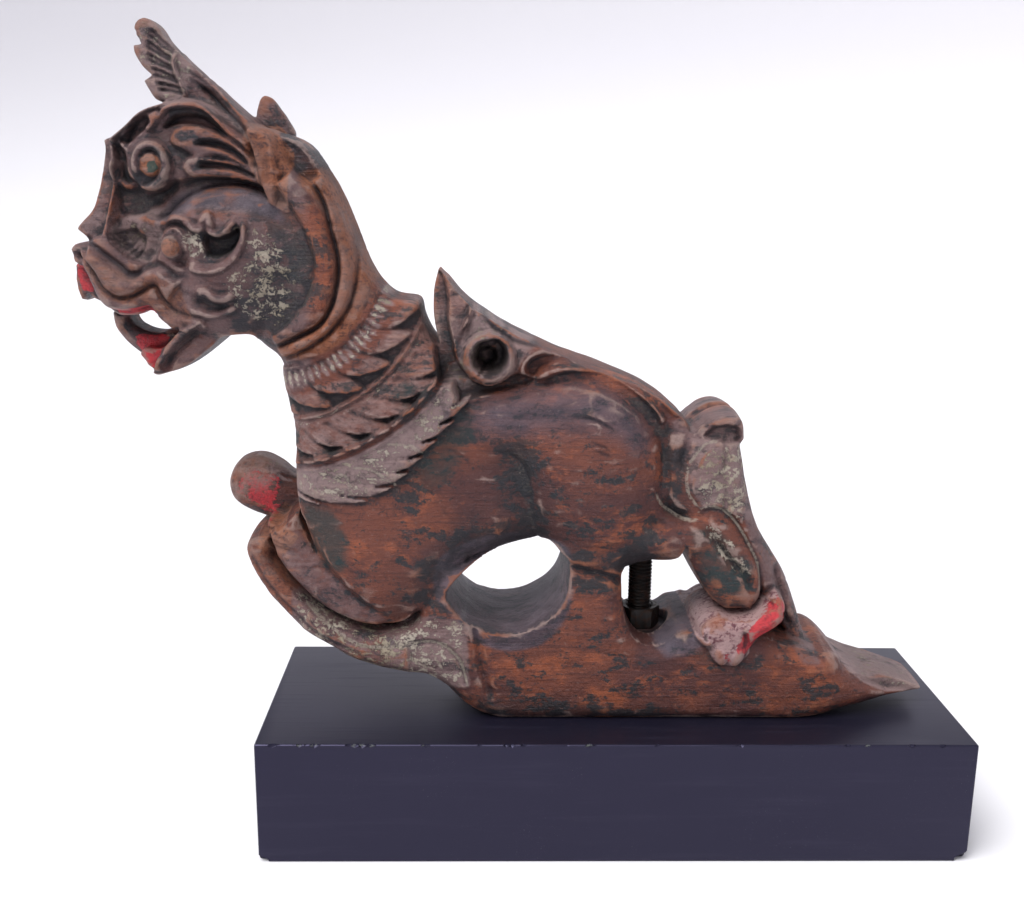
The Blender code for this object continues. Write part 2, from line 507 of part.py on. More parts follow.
def carve_mouth(board):
    """The two wavy rolls of the upper lip, gum and fang below them, the mouth's slot and the lower lip."""
    roll_top = curve([(-269.5, 240), (-264, 241), (-260, 241), (-256.5, 239.5), (-252.5, 236.5), (-248, 233),
                      (-243.5, 229.5), (-240, 226.5), (-237.5, 225.5), (-234.5, 226), (-231.5, 228.5),
                      (-228, 230), (-224, 230.5), (-220.5, 229), (-217, 227), (-213.5, 225.5), (-209, 226)])
    crease = curve([(-265, 236), (-261, 234), (-258, 231.5), (-255.5, 228), (-253.5, 224), (-251, 220),
                    (-247.5, 217), (-243.5, 215.5), (-240, 216), (-236, 217), (-231.5, 219.5), (-228, 221.5),
                    (-225, 221), (-223, 217), (-220, 213), (-215.5, 209.5), (-209, 208), (-202.5, 207)])
    lip_low = curve([(-268, 231), (-262, 226.5), (-259, 221.5), (-256.5, 216.5), (-253, 212), (-249, 209.5),
                     (-242.5, 208.5), (-237, 209.5), (-232.5, 211), (-229.5, 211), (-228, 209),
                     (-225.5, 205.5), (-221.5, 201), (-217, 199), (-206, 198), (-200, 202)])
    fang = np.array([(-268.5, 231), (-269, 223), (-268.5, 218), (-267, 213), (-265.5, 212), (-263, 215.5),
                     (-260, 213)])
    gum_low = curve([(-257, 211.5), (-252, 207.5), (-249, 205.5), (-245, 205), (-239.5, 205.5), (-235, 207.5),
                     (-231.5, 207), (-228.5, 203), (-222.5, 199.5)])
    lip = np.concatenate([roll_top, [(-203, 222), (-200, 210), (-200, 202)], lip_low[::-1]])
    board.mass(np.concatenate([fang, gum_low, [(-216, 214), (-240, 222), (-262, 232)]]), 13, 3, soft=1)
    board.cut(curve([(-256, 204), (-247, 204), (-240, 204), (-234, 206), (-231, 206), (-227, 202),
                     (-220, 198), (-222, 195), (-228, 190), (-236, 190), (-244, 188), (-256, 190)],
                    closed=True))
    board.mass(lip, lambda x, z: 13.5 + 11 * smooth_step(x, -268, -248), 4, soft=1.5)
    below_lip = lip_low[CURVE_STEPS:13 * CURVE_STEPS]
    board.press(np.concatenate([below_lip, gum_low[::-1], fang[::-1]]), 15, soft=1.5)
    board.groove(roll_top + (0.5, 1.5), 3, 2.6, taper=0.15)
    board.band(roll_top[CURVE_STEPS:], crease[:-3 * CURVE_STEPS], 5)
    board.band(crease, lip_low[CURVE_STEPS:], 4)
    board.groove(crease[2 * CURVE_STEPS:], 1.2, 0.5, taper=0.1)
    for tip in ((-265.5, 238.2), (-265, 232.5)):
        board.dome(tip, (5, 3.2), 20, tilt=-20, base=14, soft=1)
    lip_in = curve([(-216, 201), (-219, 198.5), (-223, 194), (-225, 190), (-228, 186), (-230, 180)])
    lip_out = curve([(-201.5, 206.5), (-204, 203), (-209.5, 198), (-214, 194), (-219, 189), (-222.5, 184),
                     (-225, 179.5)])
    board.press(np.concatenate([lip_in, [(-236, 176), (-245, 188), (-230, 195)]]), 15, soft=1.5)
    board.band(lip_in, lip_out, 4.5)
    board.groove(lip_out, 4, 2.6, taper=0.2)
    board.roll(curve([(-206, 219), (-200, 220), (-195, 217), (-190, 217), (-184, 220)]), (2.8, 2.2), 3.4,
               taper=0.2)
    board.groove(curve([(-209, 216), (-203, 214.5), (-196, 213), (-188, 214)]), 5, 2.4, taper=0.3)
    board.roll(curve([(-212, 211), (-204, 209.5), (-198, 208.5), (-191, 210), (-183, 214)]), (2.2, 1.8), 2.4,
               taper=0.2)
    board.dome((-211, 226), (6, 3.2), 32, tilt=-25, base=27, soft=1)


def carve_eye(board):
    """The bulging eye between its lids, which sweep back to a point round a deep hollow."""
    board.sink(curve([(-222, 246), (-218, 251), (-210, 253), (-200, 252), (-190, 248), (-183, 252),
                      (-181, 248), (-182, 240), (-188, 233), (-200, 230), (-212, 232), (-220, 238)],
                     closed=True), 2.4, soft=3)
    hollow = curve([(-199.5, 246), (-194, 245), (-187, 247), (-184, 250), (-183, 245.5), (-186.5, 240),
                    (-193, 236.5), (-198.5, 237.5)], closed=True)
    board.press(hollow, 28, soft=2)
    board.dome((-215, 240.5), (5.4, 6.0), 40, base=31, soft=0.6)
    upper = curve([(-222, 248), (-219, 252), (-214, 254), (-209, 252.5), (-205, 249.5), (-201.5, 249),
                   (-199.5, 253), (-197.5, 256), (-196.5, 252), (-196, 248), (-191.5, 246.5), (-187, 249),
                   (-182.5, 254)])
    lower = curve([(-182.5, 254), (-181, 249.5), (-182, 243), (-186, 236), (-192, 231.5), (-199, 230.5),
                   (-204, 231.5), (-209, 235)])
    board.roll(upper, (2.2, 2.4), 4.2, taper=0.08)
    board.roll(lower, (1.8, 3.0), 4.2, taper=0.12)
    board.roll(curve([(-222, 241), (-219.5, 246), (-215.5, 248.5), (-211.5, 247), (-209, 242), (-208, 236)]),
               (1.5, 1.5), 3.0, taper=0.15)


def carve_brow(board):
    """The brow bands, the two hollowed locks behind them and the spiral curl at the temple."""
    top = curve([(-247, 291), (-240, 297), (-232, 303), (-225, 307), (-218, 308)])
    under = curve([(-243, 287), (-238, 293), (-231, 298), (-225, 302), (-219, 303)])
    board.band(top, under, 6)
    board.band(curve([(-219, 304), (-214, 307), (-207, 308), (-201, 307), (-195, 303), (-189, 298),
                      (-184, 294), (-177, 289)]), curve([(-221, 295), (-218, 299), (-214, 302), (-207, 303),
                                                         (-200, 302), (-194, 297), (-188, 291), (-178, 284)]),
               6)
    board.press(curve([(-240, 289), (-234, 295), (-227, 300), (-224, 297), (-229, 293), (-235, 288)],
                      closed=True), 19, soft=2)
    board.band(curve([(-228, 295), (-225, 301), (-220, 304)]), curve([(-225, 292), (-221, 295), (-218, 299)]),
               4)
    board.press(curve([(-218, 295), (-213, 300), (-205, 301), (-198, 299), (-190, 292), (-182, 285),
                       (-190, 291), (-200, 296), (-210, 297)], closed=True), 18, soft=2)
    locks = (((-215, 290), (-212, 294), (-204, 295.5), (-197, 294), (-189, 291), (-182, 286), (-176, 281)),
             ((-215, 290), (-214, 287), (-208, 284), (-202, 282), (-194, 282), (-186, 280), (-175, 275)),
             ((-201, 289), (-194, 289), (-186, 286), (-179, 280)),
             ((-203, 287.5), (-194, 286), (-187, 283.5), (-179, 278))), (
            ((-210, 277), (-207, 280.5), (-203, 282), (-195, 281), (-186, 279), (-175, 274)),
            ((-210, 277), (-207, 273), (-200, 272), (-190, 272), (-182, 271), (-173, 269)),
            ((-201, 279.5), (-192, 279), (-184, 277.5), (-176, 273.5)),
            ((-202, 277), (-193, 276.5), (-185, 275.5), (-176, 272)))
    for lock in locks:
        above, below, hollow_top, hollow_low = (curve(line) for line in lock)
        board.mass(np.concatenate([above, below[::-1]]), 29, 3, soft=0.8)
        board.groove(above, 2.4, -1.6, taper=0.1)
        board.sink(np.concatenate([hollow_top, hollow_low[::-1]]), 4.5, soft=1.5)
    board.dome((-224.5, 277.5), (10.5, 12), 27, base=24, soft=1)
    ring = curve([(-229.5, 272.5), (-231.5, 277), (-231, 281.5), (-228.5, 285.5), (-223.8, 287.2),
                  (-219.5, 285), (-217.4, 280.5), (-217.3, 275.5), (-219.5, 271), (-223, 268.2),
                  (-227, 266.4), (-232, 265.6)])
    board.roll(ring, (2.2, 2.9), 4.6, taper=0.08)
    board.dome((-224.5, 278.5), (4.8, 5.2), 30.5, base=28.5, soft=0.5)
    board.roll(curve([(-243, 281), (-242, 273), (-238, 268), (-233, 269)]), (3.2, 1.6), 5, taper=0.2)
    for x in (-240, -235.5):
        board.groove(curve([(x + 4, 297), (x, 291), (x - 1, 285)]), 2.6, 2.5)


def carve_crest(board):
    """The leafy plume on the head and the ridged stem that carries it back to the ear."""
    plume = np.concatenate([curve([(-221, 306.5), (-226, 308.5), (-229, 313), (-231, 317)]),
                            curve([(-227, 319.5), (-231, 323), (-234.5, 329), (-235, 333)]),
                            curve([(-231, 333.5), (-233, 337), (-234, 341), (-232.5, 344), (-229, 345.5),
                                   (-225, 343.5), (-222, 340), (-220, 336.5), (-215, 331)]),
                            curve([(-214, 330.5), (-209, 325.5), (-203, 320), (-197, 315), (-191, 309),
                                   (-185, 303.5), (-179, 299), (-172, 291)]), [(-190, 290)]])
    board.mass(plume, lambda x, z: 9 + 16 * smooth_step(x, -200, -176), 3, soft=1.5)
    midrib = curve([(-214, 330), (-216, 326), (-215.5, 321), (-213, 315), (-211, 309)])
    board.groove(midrib, 2.2, -2.4, taper=0.05)
    for share in np.linspace(0.02, 0.95, 10):
        start = midrib[int(share * (len(midrib) - 1))]
        rib = np.array([start, start + (-6, 4.2 - 3.0 * share), start + (-12.5, 10.5 - 9.0 * share)])
        board.groove(rib, 1.7, 3.0, taper=0.15)
    board.groove(curve([(-206, 312.5), (-203, 313), (-198, 309), (-192, 302.5), (-184, 295.5), (-178, 291)]),
                 3.4, 4, taper=0.12)
    for shift in (0, 4):
        furrow = curve([(-210 + shift * 0.4, 322 - shift), (-202, 316.5 - shift * 0.8),
                        (-192, 307 - shift * 0.8), (-181, 298 - shift * 0.6)])
        board.groove(furrow, 2.0, 2.0)


def carved_board(step):
    """The whole side view, each part laid over those behind it."""
    board = Board(step)
    carve_log(board)
    carve_hind_leg(board)
    carve_body(board)
    carve_forelegs(board)
    carve_collar(board)
    carve_wing(board)
    carve_head(board)
    return board


def carried_outwards(edge, half, cells=4):
    """The thickness of one side, carried on past the outline so that its slope is true right up to it."""
    known = edge > 0
    half = np.where(known, half, 0)
    for _ in range(cells):
        total = np.zeros_like(half)
        count = np.zeros_like(half)
        for axis, way in ((0, 1), (0, -1), (1, 1), (1, -1)):
            total += np.roll(half * known, way, axis)
            count += np.roll(known, way, axis)
        fresh = ~known & (count > 0)
        half[fresh] = total[fresh] / count[fresh]
        known |= fresh
    return half


def add_slab(field, board, y, outline, middle, half, rounding, soft=2.0):
    """Joins to the field a piece of wood that stands away from the middle plane."""
    box, depth = board.inside(outline, margin=10)
    across = rounding - depth[:, None, :]
    deep = np.abs(y[None, :, None] - middle) - (half - rounding)
    slab = np.minimum(np.maximum(across, deep), 0) - rounding
    slab += np.hypot(np.maximum(across, 0), np.maximum(deep, 0))
    field[box[0], :, box[1]] = -smooth_max(-field[box[0], :, box[1]], -slab, soft)


def softened(values):
    """The values averaged with their neighbours, as a scraper leaves the wood."""
    for axis in (0, 1):
        values = 0.5 * values + 0.25 * (np.roll(values, 1, axis) + np.roll(values, -1, axis))
    return values


def carved_field(step):
    """Distance outside the figure's surface over a grid of drawn millimetres, and the grid's first corner."""
    board = carved_board(step)
    reach = board.half.max() + 4 * step
    y = np.arange(-reach, reach, step, dtype=np.float32)
    brow = smooth_step(-board.x, 205, 250) * smooth_step(board.z, 190, 215)
    nose = smooth_step(-board.x, 236, 246) * smooth_step(board.z, 243, 252)
    nose *= smooth_step(-board.z, -292, -284)
    tail_top = smooth_step(board.x, 28, 34) * smooth_step(-board.x, -66, -58) * smooth_step(board.z, 150, 156)
    across = y[None, :, None]
    crown = (CROWN + BROW_CROWN * brow)[:, None, :] * (across / CROWN_AT)**2
    bead = NOSE_BEAD * nose[:, None, :] * np.exp(-((np.abs(across) - NOSE_BEAD_AT) / NOSE_BEAD_WIDTH)**2)
    dip = np.maximum(1 - np.abs(across - TAIL_VALLEY_AT) / TAIL_VALLEY_WIDTH, 0)
    field = crown + bead + TAIL_VALLEY * tail_top[:, None, :] * dip - board.edge[:, None, :]
    for side, facing in ((0, y < 0), (1, y >= 0)):
        half = softened(carried_outwards(board.edge, board.half[side]))
        slope_x, slope_z = np.gradient(half, step)
        steepness = np.sqrt(1 + slope_x**2 + slope_z**2)
        above = (np.abs(y[facing])[None, :, None] - half[:, None, :]) / steepness[:, None, :]
        field[:, facing, :] = np.maximum(field[:, facing, :], above)
    far_paw = curve([(-158, 120), (-168, 119), (-176, 125), (-184, 129), (-192, 129), (-199, 125),
                     (-203, 116), (-202, 108), (-198, 103), (-191, 99), (-183, 96), (-174, 92), (-158, 96)],
                    closed=True)
    add_slab(field, board, y, far_paw, 16, 12, 8)
    far_ear = curve([(-182, 300), (-181.5, 308), (-179, 312), (-175, 311), (-171, 306), (-167.5, 301),
                     (-164, 293), (-172, 288)], closed=True)
    add_slab(field, board, y, far_ear, 20, 7, 5)
    tongue = np.concatenate([curve([(-255, 206), (-254, 199), (-251, 194), (-247, 189.5), (-240, 184),
                                    (-232, 180)]), curve([(-220, 188), (-222, 196), (-227, 197.5),
                                                          (-231, 196), (-237, 196.5), (-242, 198.5),
                                                          (-245, 201), (-247, 206)])])
    add_slab(field, board, y, tongue, 6, 11, 5)
    return field, (board.low[0], float(y[0]), board.low[1])


def carved_mesh(step):
    """Vertices and faces of the figure, in drawn millimetres."""
    field, corner = carved_field(step)
    grid = openvdb.FloatGrid(background=FAR)
    grid.copyFromArray(np.ascontiguousarray(field))
    points, triangles, quads = grid.convertToPolygons(isovalue=0.0, adaptivity=0.0)
    return points * step + np.array(corner), triangles.tolist() + quads.tolist()


def finish(name, mesh, colour, roughness, metallic=0.0, smooth_angle=35):
    """Puts a mesh into the scene as a named object with its own material."""
    look = bpy.data.materials.new(name)
    look.use_nodes = True
    shader = look.node_tree.nodes["Principled BSDF"]
    shader.inputs["Base Color"].default_value = (*colour, 1)
    shader.inputs["Roughness"].default_value = roughness
    shader.inputs["Metallic"].default_value = metallic
    mesh.materials.append(look)
    mesh.shade_smooth()
    mesh.set_sharp_from_angle(angle=math.radians(smooth_angle))
    piece = bpy.data.objects.new(name, mesh)
    bpy.context.scene.collection.objects.link(piece)
    return piece


def mesh_of(name, shape):
    """A mesh datablock from a bmesh, which is freed."""
    mesh = bpy.data.meshes.new(name)
    shape.to_mesh(mesh)
    shape.free()
    return mesh


def cylinder(name, radius, low, high, segments=32):
    """An upright cylinder between two heights on the rod's axis."""
    shape = bmesh.new()
    bmesh.ops.create_cone(shape, cap_ends=True, segments=segments, radius1=radius, radius2=radius,
                          depth=high - low)
    bmesh.ops.translate(shape, verts=shape.verts, vec=(ROD_X, 0, (low + high) / 2))
    return mesh_of(name, shape)


def box(name, size, middle):
    """A plain box of the given size about its middle."""
    shape = bmesh.new()
    bmesh.ops.create_cube(shape, size=1)
    bmesh.ops.scale(shape, verts=shape.verts, vec=size)
    bmesh.ops.translate(shape, verts=shape.verts, vec=middle)
    return mesh_of(name, shape)


def subtract(piece, cutter_mesh):
    """Cuts a shape away from a piece with a Boolean, and hides the cutter."""
    cutter = bpy.data.objects.new(cutter_mesh.name, cutter_mesh)
    cutter.hide_render = True
    cutter.display_type = "WIRE"
    bpy.context.scene.collection.objects.link(cutter)
    cut = piece.modifiers.new(cutter_mesh.name, "BOOLEAN")
    cut.operation = "DIFFERENCE"
    cut.object = cutter


def world_height(drawn_z):
    """Height above the floor of a height in the figure's drawing."""
    return SEAT_Z + drawn_z * SCALE


def make_lion():
    """The carving: one piece of wood with a flat seat, a pocket for the nut and a bore for the rod."""
    points, faces = carved_mesh((BOARD_HIGH[0] - BOARD_LOW[0]) / CELLS)
    points = (points - (BORE_DRAWN_X, 0, 0)) * SCALE + (ROD_X, 0, SEAT_Z)
    mesh = bpy.data.meshes.new("carved_lion")
    mesh.from_pydata(points.tolist(), [], faces)
    lion = finish("carved_lion", mesh, (0.23, 0.09, 0.055), 0.5)
    thin = lion.modifiers.new("fewer_faces", "DECIMATE")
    thin.ratio = TRIANGLES / sum(len(face) - 2 for face in faces)
    thin.use_collapse_triangulate = True
    below = 0.05
    subtract(lion, box("seat_cut", (1.2 * FIGURE_LENGTH, FIGURE_LENGTH, below),
                       (ROD_X, 0, SEAT_Z - below / 2)))
    subtract(lion, cylinder("nut_pocket_cut", POCKET_DIAMETER / 2, world_height(POCKET_FLOOR),
                            world_height(POCKET_TOP)))
    subtract(lion, cylinder("rod_bore_cut", BORE_RADIUS, SEAT_Z - below, world_height(BELLY_Z) + ROD_IN_BELLY
                            + CLEARANCE))


def make_block():
    """The black display block, its edges eased, bored for the foot of the rod."""
    mesh = box("display_block", (BLOCK_LENGTH, BLOCK_DEPTH, BLOCK_HEIGHT), (0, 0, BLOCK_HEIGHT / 2))
    block = finish("display_block", mesh, (0.012, 0.012, 0.016), 0.35)
    ease = block.modifiers.new("eased_edges", "BEVEL")
    ease.width = BLOCK_EDGE
    ease.segments = 2
    subtract(block, cylinder("block_bore_cut", BORE_RADIUS, BLOCK_HEIGHT - ROD_IN_BLOCK - CLEARANCE,
                             BLOCK_HEIGHT + ROD_IN_BLOCK))


def make_rod():
    """The steel rod that runs from the block through the log and the nut into the belly."""
    low = BLOCK_HEIGHT - ROD_IN_BLOCK
    high = world_height(BELLY_Z) + ROD_IN_BELLY
    finish("mounting_rod", cylinder("mounting_rod", ROD_DIAMETER / 2, low, high), (0.05, 0.045, 0.045), 0.55,
           0.8)


def make_nut():
    """The hexagonal nut on the floor of its pocket in the log."""
    low = world_height(POCKET_FLOOR) + CLEARANCE
    corner = NUT_ACROSS_FLATS / 2 / math.cos(math.radians(30))
    mesh = cylinder("hex_nut", corner, low, low + NUT_THICKNESS, segments=6)
    nut = finish("hex_nut", mesh, (0.06, 0.055, 0.055), 0.5, 0.8)
    subtract(nut, cylinder("nut_bore_cut", BORE_RADIUS, low - NUT_THICKNESS, low + 2 * NUT_THICKNESS))


def main():
    for piece in list(bpy.data.objects):
        bpy.data.objects.remove(piece)
    make_lion()
    make_block()
    make_rod()
    make_nut()


main()
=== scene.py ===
"""A carved and painted cart ornament, a leaping beast over a log, on its bored display block, dressed for
the render: each section below makes one piece in the order in which the object is put together."""

import math

import bmesh
import bpy
import numpy as np
import openvdb
from mathutils import Matrix, Vector


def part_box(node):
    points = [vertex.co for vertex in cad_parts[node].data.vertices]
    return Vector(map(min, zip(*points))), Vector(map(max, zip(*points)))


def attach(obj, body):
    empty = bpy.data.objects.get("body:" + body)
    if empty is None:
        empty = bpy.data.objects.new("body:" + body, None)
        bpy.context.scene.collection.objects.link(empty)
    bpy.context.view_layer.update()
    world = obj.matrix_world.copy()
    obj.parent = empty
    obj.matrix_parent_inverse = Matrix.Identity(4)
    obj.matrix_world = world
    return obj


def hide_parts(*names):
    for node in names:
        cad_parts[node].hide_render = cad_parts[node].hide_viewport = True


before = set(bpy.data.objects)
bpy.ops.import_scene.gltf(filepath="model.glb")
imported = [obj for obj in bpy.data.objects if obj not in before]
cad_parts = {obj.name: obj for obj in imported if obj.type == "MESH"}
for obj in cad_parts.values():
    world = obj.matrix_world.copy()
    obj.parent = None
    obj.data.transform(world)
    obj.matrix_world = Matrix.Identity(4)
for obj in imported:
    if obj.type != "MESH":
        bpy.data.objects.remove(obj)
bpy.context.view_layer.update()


# The display block: a bar of hardwood under black satin lacquer, its arrises eased by hand. The front top
# arris and two lower corners have been knocked, and the pale filler shows there. The lacquer carries fine
# rubbing marks along its length and a little dust.
BLOCK_EASE = 0.0012
CHIP_SIZE = 0.0016
CHIPS = 34
CORNER_CHIP = 0.006
CHIP_LENGTHENED = 1.7
CHIP_DEEPER_THAN = 0.0002
BLOCK_SHARP = 28
LACQUER = (0.0052, 0.0047, 0.0112)
LACQUER_WORN = (0.02, 0.019, 0.032)
BLOCK_DUST = (0.2, 0.2, 0.22)
FILLER = (0.22, 0.24, 0.2)
SHEEN = (0.66, 0.62, 1.0)


class Nodes:
    """A node tree whose nodes are added by calls that read as a recipe."""

    def __init__(self, tree):
        self.tree = tree

    def add(self, kind, settings, inputs, output=0):
        """Adds one node: its settings first, then the values or links of its sockets."""
        node = self.tree.nodes.new(kind)
        for key, value in settings.items():
            setattr(node, key, value)
        for key, value in inputs.items():
            self.feed(node.inputs[key], value)
        return Wire(self, node.outputs[output])

    def feed(self, socket, value):
        """Links a wire to a socket, or sets the socket's own value."""
        if isinstance(value, Wire):
            self.tree.links.new(value.socket, socket)
        elif socket.type == "RGBA":
            socket.default_value = (*value[:3], 1)
        else:
            socket.default_value = value

    def sum(self, operation, *values):
        return self.add("ShaderNodeMath", {"operation": operation}, dict(enumerate(values)))


class Wire:
    """One socket of a node tree, on which sums are written as they are on numbers."""

    def __init__(self, nodes, socket):
        self.nodes = nodes
        self.socket = socket

    def __add__(self, other):
        return self.nodes.sum("ADD", self, other)

    def __radd__(self, other):
        return self.nodes.sum("ADD", other, self)

    def __sub__(self, other):
        return self.nodes.sum("SUBTRACT", self, other)

    def __rsub__(self, other):
        return self.nodes.sum("SUBTRACT", other, self)

    def __mul__(self, other):
        return self.nodes.sum("MULTIPLY", self, other)

    def __truediv__(self, other):
        return self.nodes.sum("DIVIDE", self, other)

    def ease(self, low, high):
        """0 below low, 1 above high, smooth between them."""
        return self.nodes.add("ShaderNodeMapRange", {"interpolation_type": "SMOOTHSTEP"},
            {0: self, 1: low, 2: high, 3: 0.0, 4: 1.0})


class Finish(Nodes):
    """A surface finish: a material whose colour is laid on in coats, the first one underneath."""

    def __init__(self, name):
        self.material = bpy.data.materials.new(name)
        self.material.use_nodes = True
        super().__init__(self.material.node_tree)
        self.shader = self.tree.nodes["Principled BSDF"]
        self.place = self.add("ShaderNodeTexCoord", {}, {}, "Object")
        self.colour = None

    def cloud(self, size, stretch=(1, 1, 1), detail=4, roughness=0.55, shift=0.0, distortion=0.0):
        """Uneven patches about size metres across, drawn out along the axes by stretch."""
        at = self.add("ShaderNodeMapping", {}, {"Vector": self.place, "Location": (shift, shift, shift),
            "Scale": [1 / size / s for s in stretch]})
        return self.add("ShaderNodeTexNoise", {}, {"Vector": at, "Scale": 1.0, "Detail": detail,
            "Roughness": roughness, "Distortion": distortion})

    def mark(self, name):
        """A mark that the mesh carries: how much of it there is at each place."""
        return self.add("ShaderNodeAttribute", {"attribute_name": name}, {}, "Fac")

    def blend(self, under, over, share):
        """One colour laid over another where share is 1."""
        return self.add("ShaderNodeMix", {"data_type": "RGBA"}, {0: share, 6: under, 7: over}, 2)

    def coat(self, over, share):
        """Lays a colour over the coats that are there already."""
        self.colour = self.blend(self.colour, over, share)

    def dress(self, roughness, bumps, **more):
        """Feeds the shader with the coats and the rest; bumps are heights in metres."""
        normal = self.add("ShaderNodeBump", {}, {"Strength": 1.0, "Distance": 1.0, "Height": bumps})
        inputs = {"Base Color": self.colour, "Roughness": roughness, "Normal": normal, **more}
        for name, value in inputs.items():
            self.feed(self.shader.inputs[name], value)
        return self.material


def placed(name, data):
    """A new object in the scene."""
    thing = bpy.data.objects.new(name, data)
    bpy.context.scene.collection.objects.link(thing)
    return thing


def mesh_of(name, shape):
    """A mesh made of a finished bmesh."""
    mesh = bpy.data.meshes.new(name)
    shape.to_mesh(mesh)
    shape.free()
    return mesh


def baked(name, thing):
    """The mesh that an object's modifiers make; the object goes."""
    mesh = bpy.data.meshes.new_from_object(thing.evaluated_get(bpy.context.evaluated_depsgraph_get()))
    bpy.data.objects.remove(thing)
    mesh.name = name
    return mesh


def read_off(things, name, width=3):
    """A property of every vertex or edge, one row each."""
    values = np.empty(len(things) * width, int if name == "vertices" else float)
    things.foreach_get(name, values)
    return values.reshape(-1, width)


def write_down(mesh, name, values):
    """Gives every vertex of a mesh a value for the finish to read."""
    mesh.attributes.new(name, "FLOAT", "POINT").data.foreach_set("value", values.astype(np.float32))


def smooth_but(mesh, degrees):
    """Shades a mesh smooth, except over edges sharper than this."""
    mesh.shade_smooth()
    mesh.set_sharp_from_angle(angle=math.radians(degrees))


def piece_from(name, mesh, material, node):
    """Puts a finished mesh into the scene in place of its CAD node."""
    mesh.materials.clear()
    mesh.materials.append(material)
    piece = placed(name, mesh)
    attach(piece, "root")
    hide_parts(node)


def lacquer_finish():
    finish = Finish("black_lacquer")
    rubbed = finish.cloud(0.004, (14, 1, 1), detail=5).ease(0.5, 0.8)
    cloudy = finish.cloud(0.09, detail=3, shift=4.0)
    dusty = finish.cloud(0.05, shift=9.0).ease(0.4, 0.7)
    dust = finish.cloud(0.0006, detail=2, shift=2.0).ease(0.68, 0.76) * dusty
    pale = finish.mark("chipped")
    finish.colour = finish.blend(LACQUER, LACQUER_WORN, rubbed * 0.35 + cloudy * 0.3)
    finish.coat(BLOCK_DUST, dust * 0.35)
    finish.coat(FILLER, pale * finish.cloud(0.0015, shift=6.0).ease(0.42, 0.58) * 0.75)
    finish.feed(finish.shader.inputs["Specular Tint"], SHEEN)
    return finish.dress(0.3 + cloudy * 0.14 + rubbed * 0.1 + pale * 0.4,
        rubbed * 0.00003 + finish.cloud(0.0008) * 0.00001)


def block_mesh(low, high):
    shape = bmesh.new()
    bmesh.ops.create_cube(shape, size=1)
    bmesh.ops.scale(shape, verts=shape.verts, vec=high - low)
    bmesh.ops.translate(shape, verts=shape.verts, vec=(low + high) / 2)
    bmesh.ops.bevel(shape, geom=shape.edges[:], offset=BLOCK_EASE, segments=3, profile=0.6, affect="EDGES")
    return mesh_of("display_block", shape)


def chip_cutter(low, high):
    """Small faceted lumps strung along the knocked arrises."""
    dice = np.random.default_rng(11)
    shape = bmesh.new()
    places = []
    for y, count, largest in ((low.y, CHIPS, 1.3), (high.y, CHIPS // 3, 1.0)):
        places += [(Vector((dice.uniform(low.x, high.x), y, high.z)), CHIP_SIZE * dice.uniform(0.35, largest))
            for _ in range(count)]
    corners = ((low.x, 0.7), (high.x, 1.0))
    places += [(Vector((x, low.y, low.z)), CORNER_CHIP * size) for x, size in corners]
    for place, size in places:
        for point in bmesh.ops.create_icosphere(shape, subdivisions=1, radius=size)["verts"]:
            point.co *= dice.uniform(0.75, 1.1)
            point.co.x *= CHIP_LENGTHENED
            point.co += place
    return mesh_of("knocks", shape)


def make_block():
    low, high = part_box("display_block")
    blank = placed("block_blank", block_mesh(Vector(low), Vector(high)))
    knocks = placed("block_knocks", chip_cutter(Vector(low), Vector(high)))
    cut = blank.modifiers.new("knocks", "BOOLEAN")
    cut.operation = "DIFFERENCE"
    cut.solver = "EXACT"
    cut.use_self = True
    cut.object = knocks
    solid = baked("display_block", blank)
    bpy.data.objects.remove(knocks)
    places = read_off(solid.vertices, "co")
    inset = np.sort(np.minimum(places - np.array(low), np.array(high) - places), axis=1)
    write_down(solid, "chipped", (inset[:, 0] > CHIP_DEEPER_THAN) & (inset[:, 1] > BLOCK_EASE))
    smooth_but(solid, BLOCK_SHARP)
    piece_from("lacquered_block", solid, lacquer_finish(), "display_block")


make_block()


# The mounting rod: dark steel with a rolled thread from end to end, oily and lightly rusted. It stands in
# the block, runs up through the log and the nut, and ends in the belly.
THREAD_PITCH = 0.00195
THREAD_DEPTH = 0.0009
THREAD_SIDES = 40
THREAD_STEPS = 6
THREAD_SHARP = 50
THREAD_SOCKETS = (("Radius", "Float"), ("Length", "Float"), ("Pitch", "Float"), ("Depth", "Float"),
    ("Sides", "Int"), ("Rings", "Int"), ("Place", "Vector"), ("Finish", "Material"))
STEEL = (0.022, 0.019, 0.018)
RUST = (0.06, 0.028, 0.018)


def steel_finish():
    finish = Finish("dark_steel")
    rust = finish.cloud(0.003, detail=5).ease(0.45, 0.7)
    finish.colour = finish.blend(STEEL, RUST, rust * 0.8)
    return finish.dress(0.45 + rust * 0.35, finish.cloud(0.0008, detail=3) * 0.00008, Metallic=0.55)


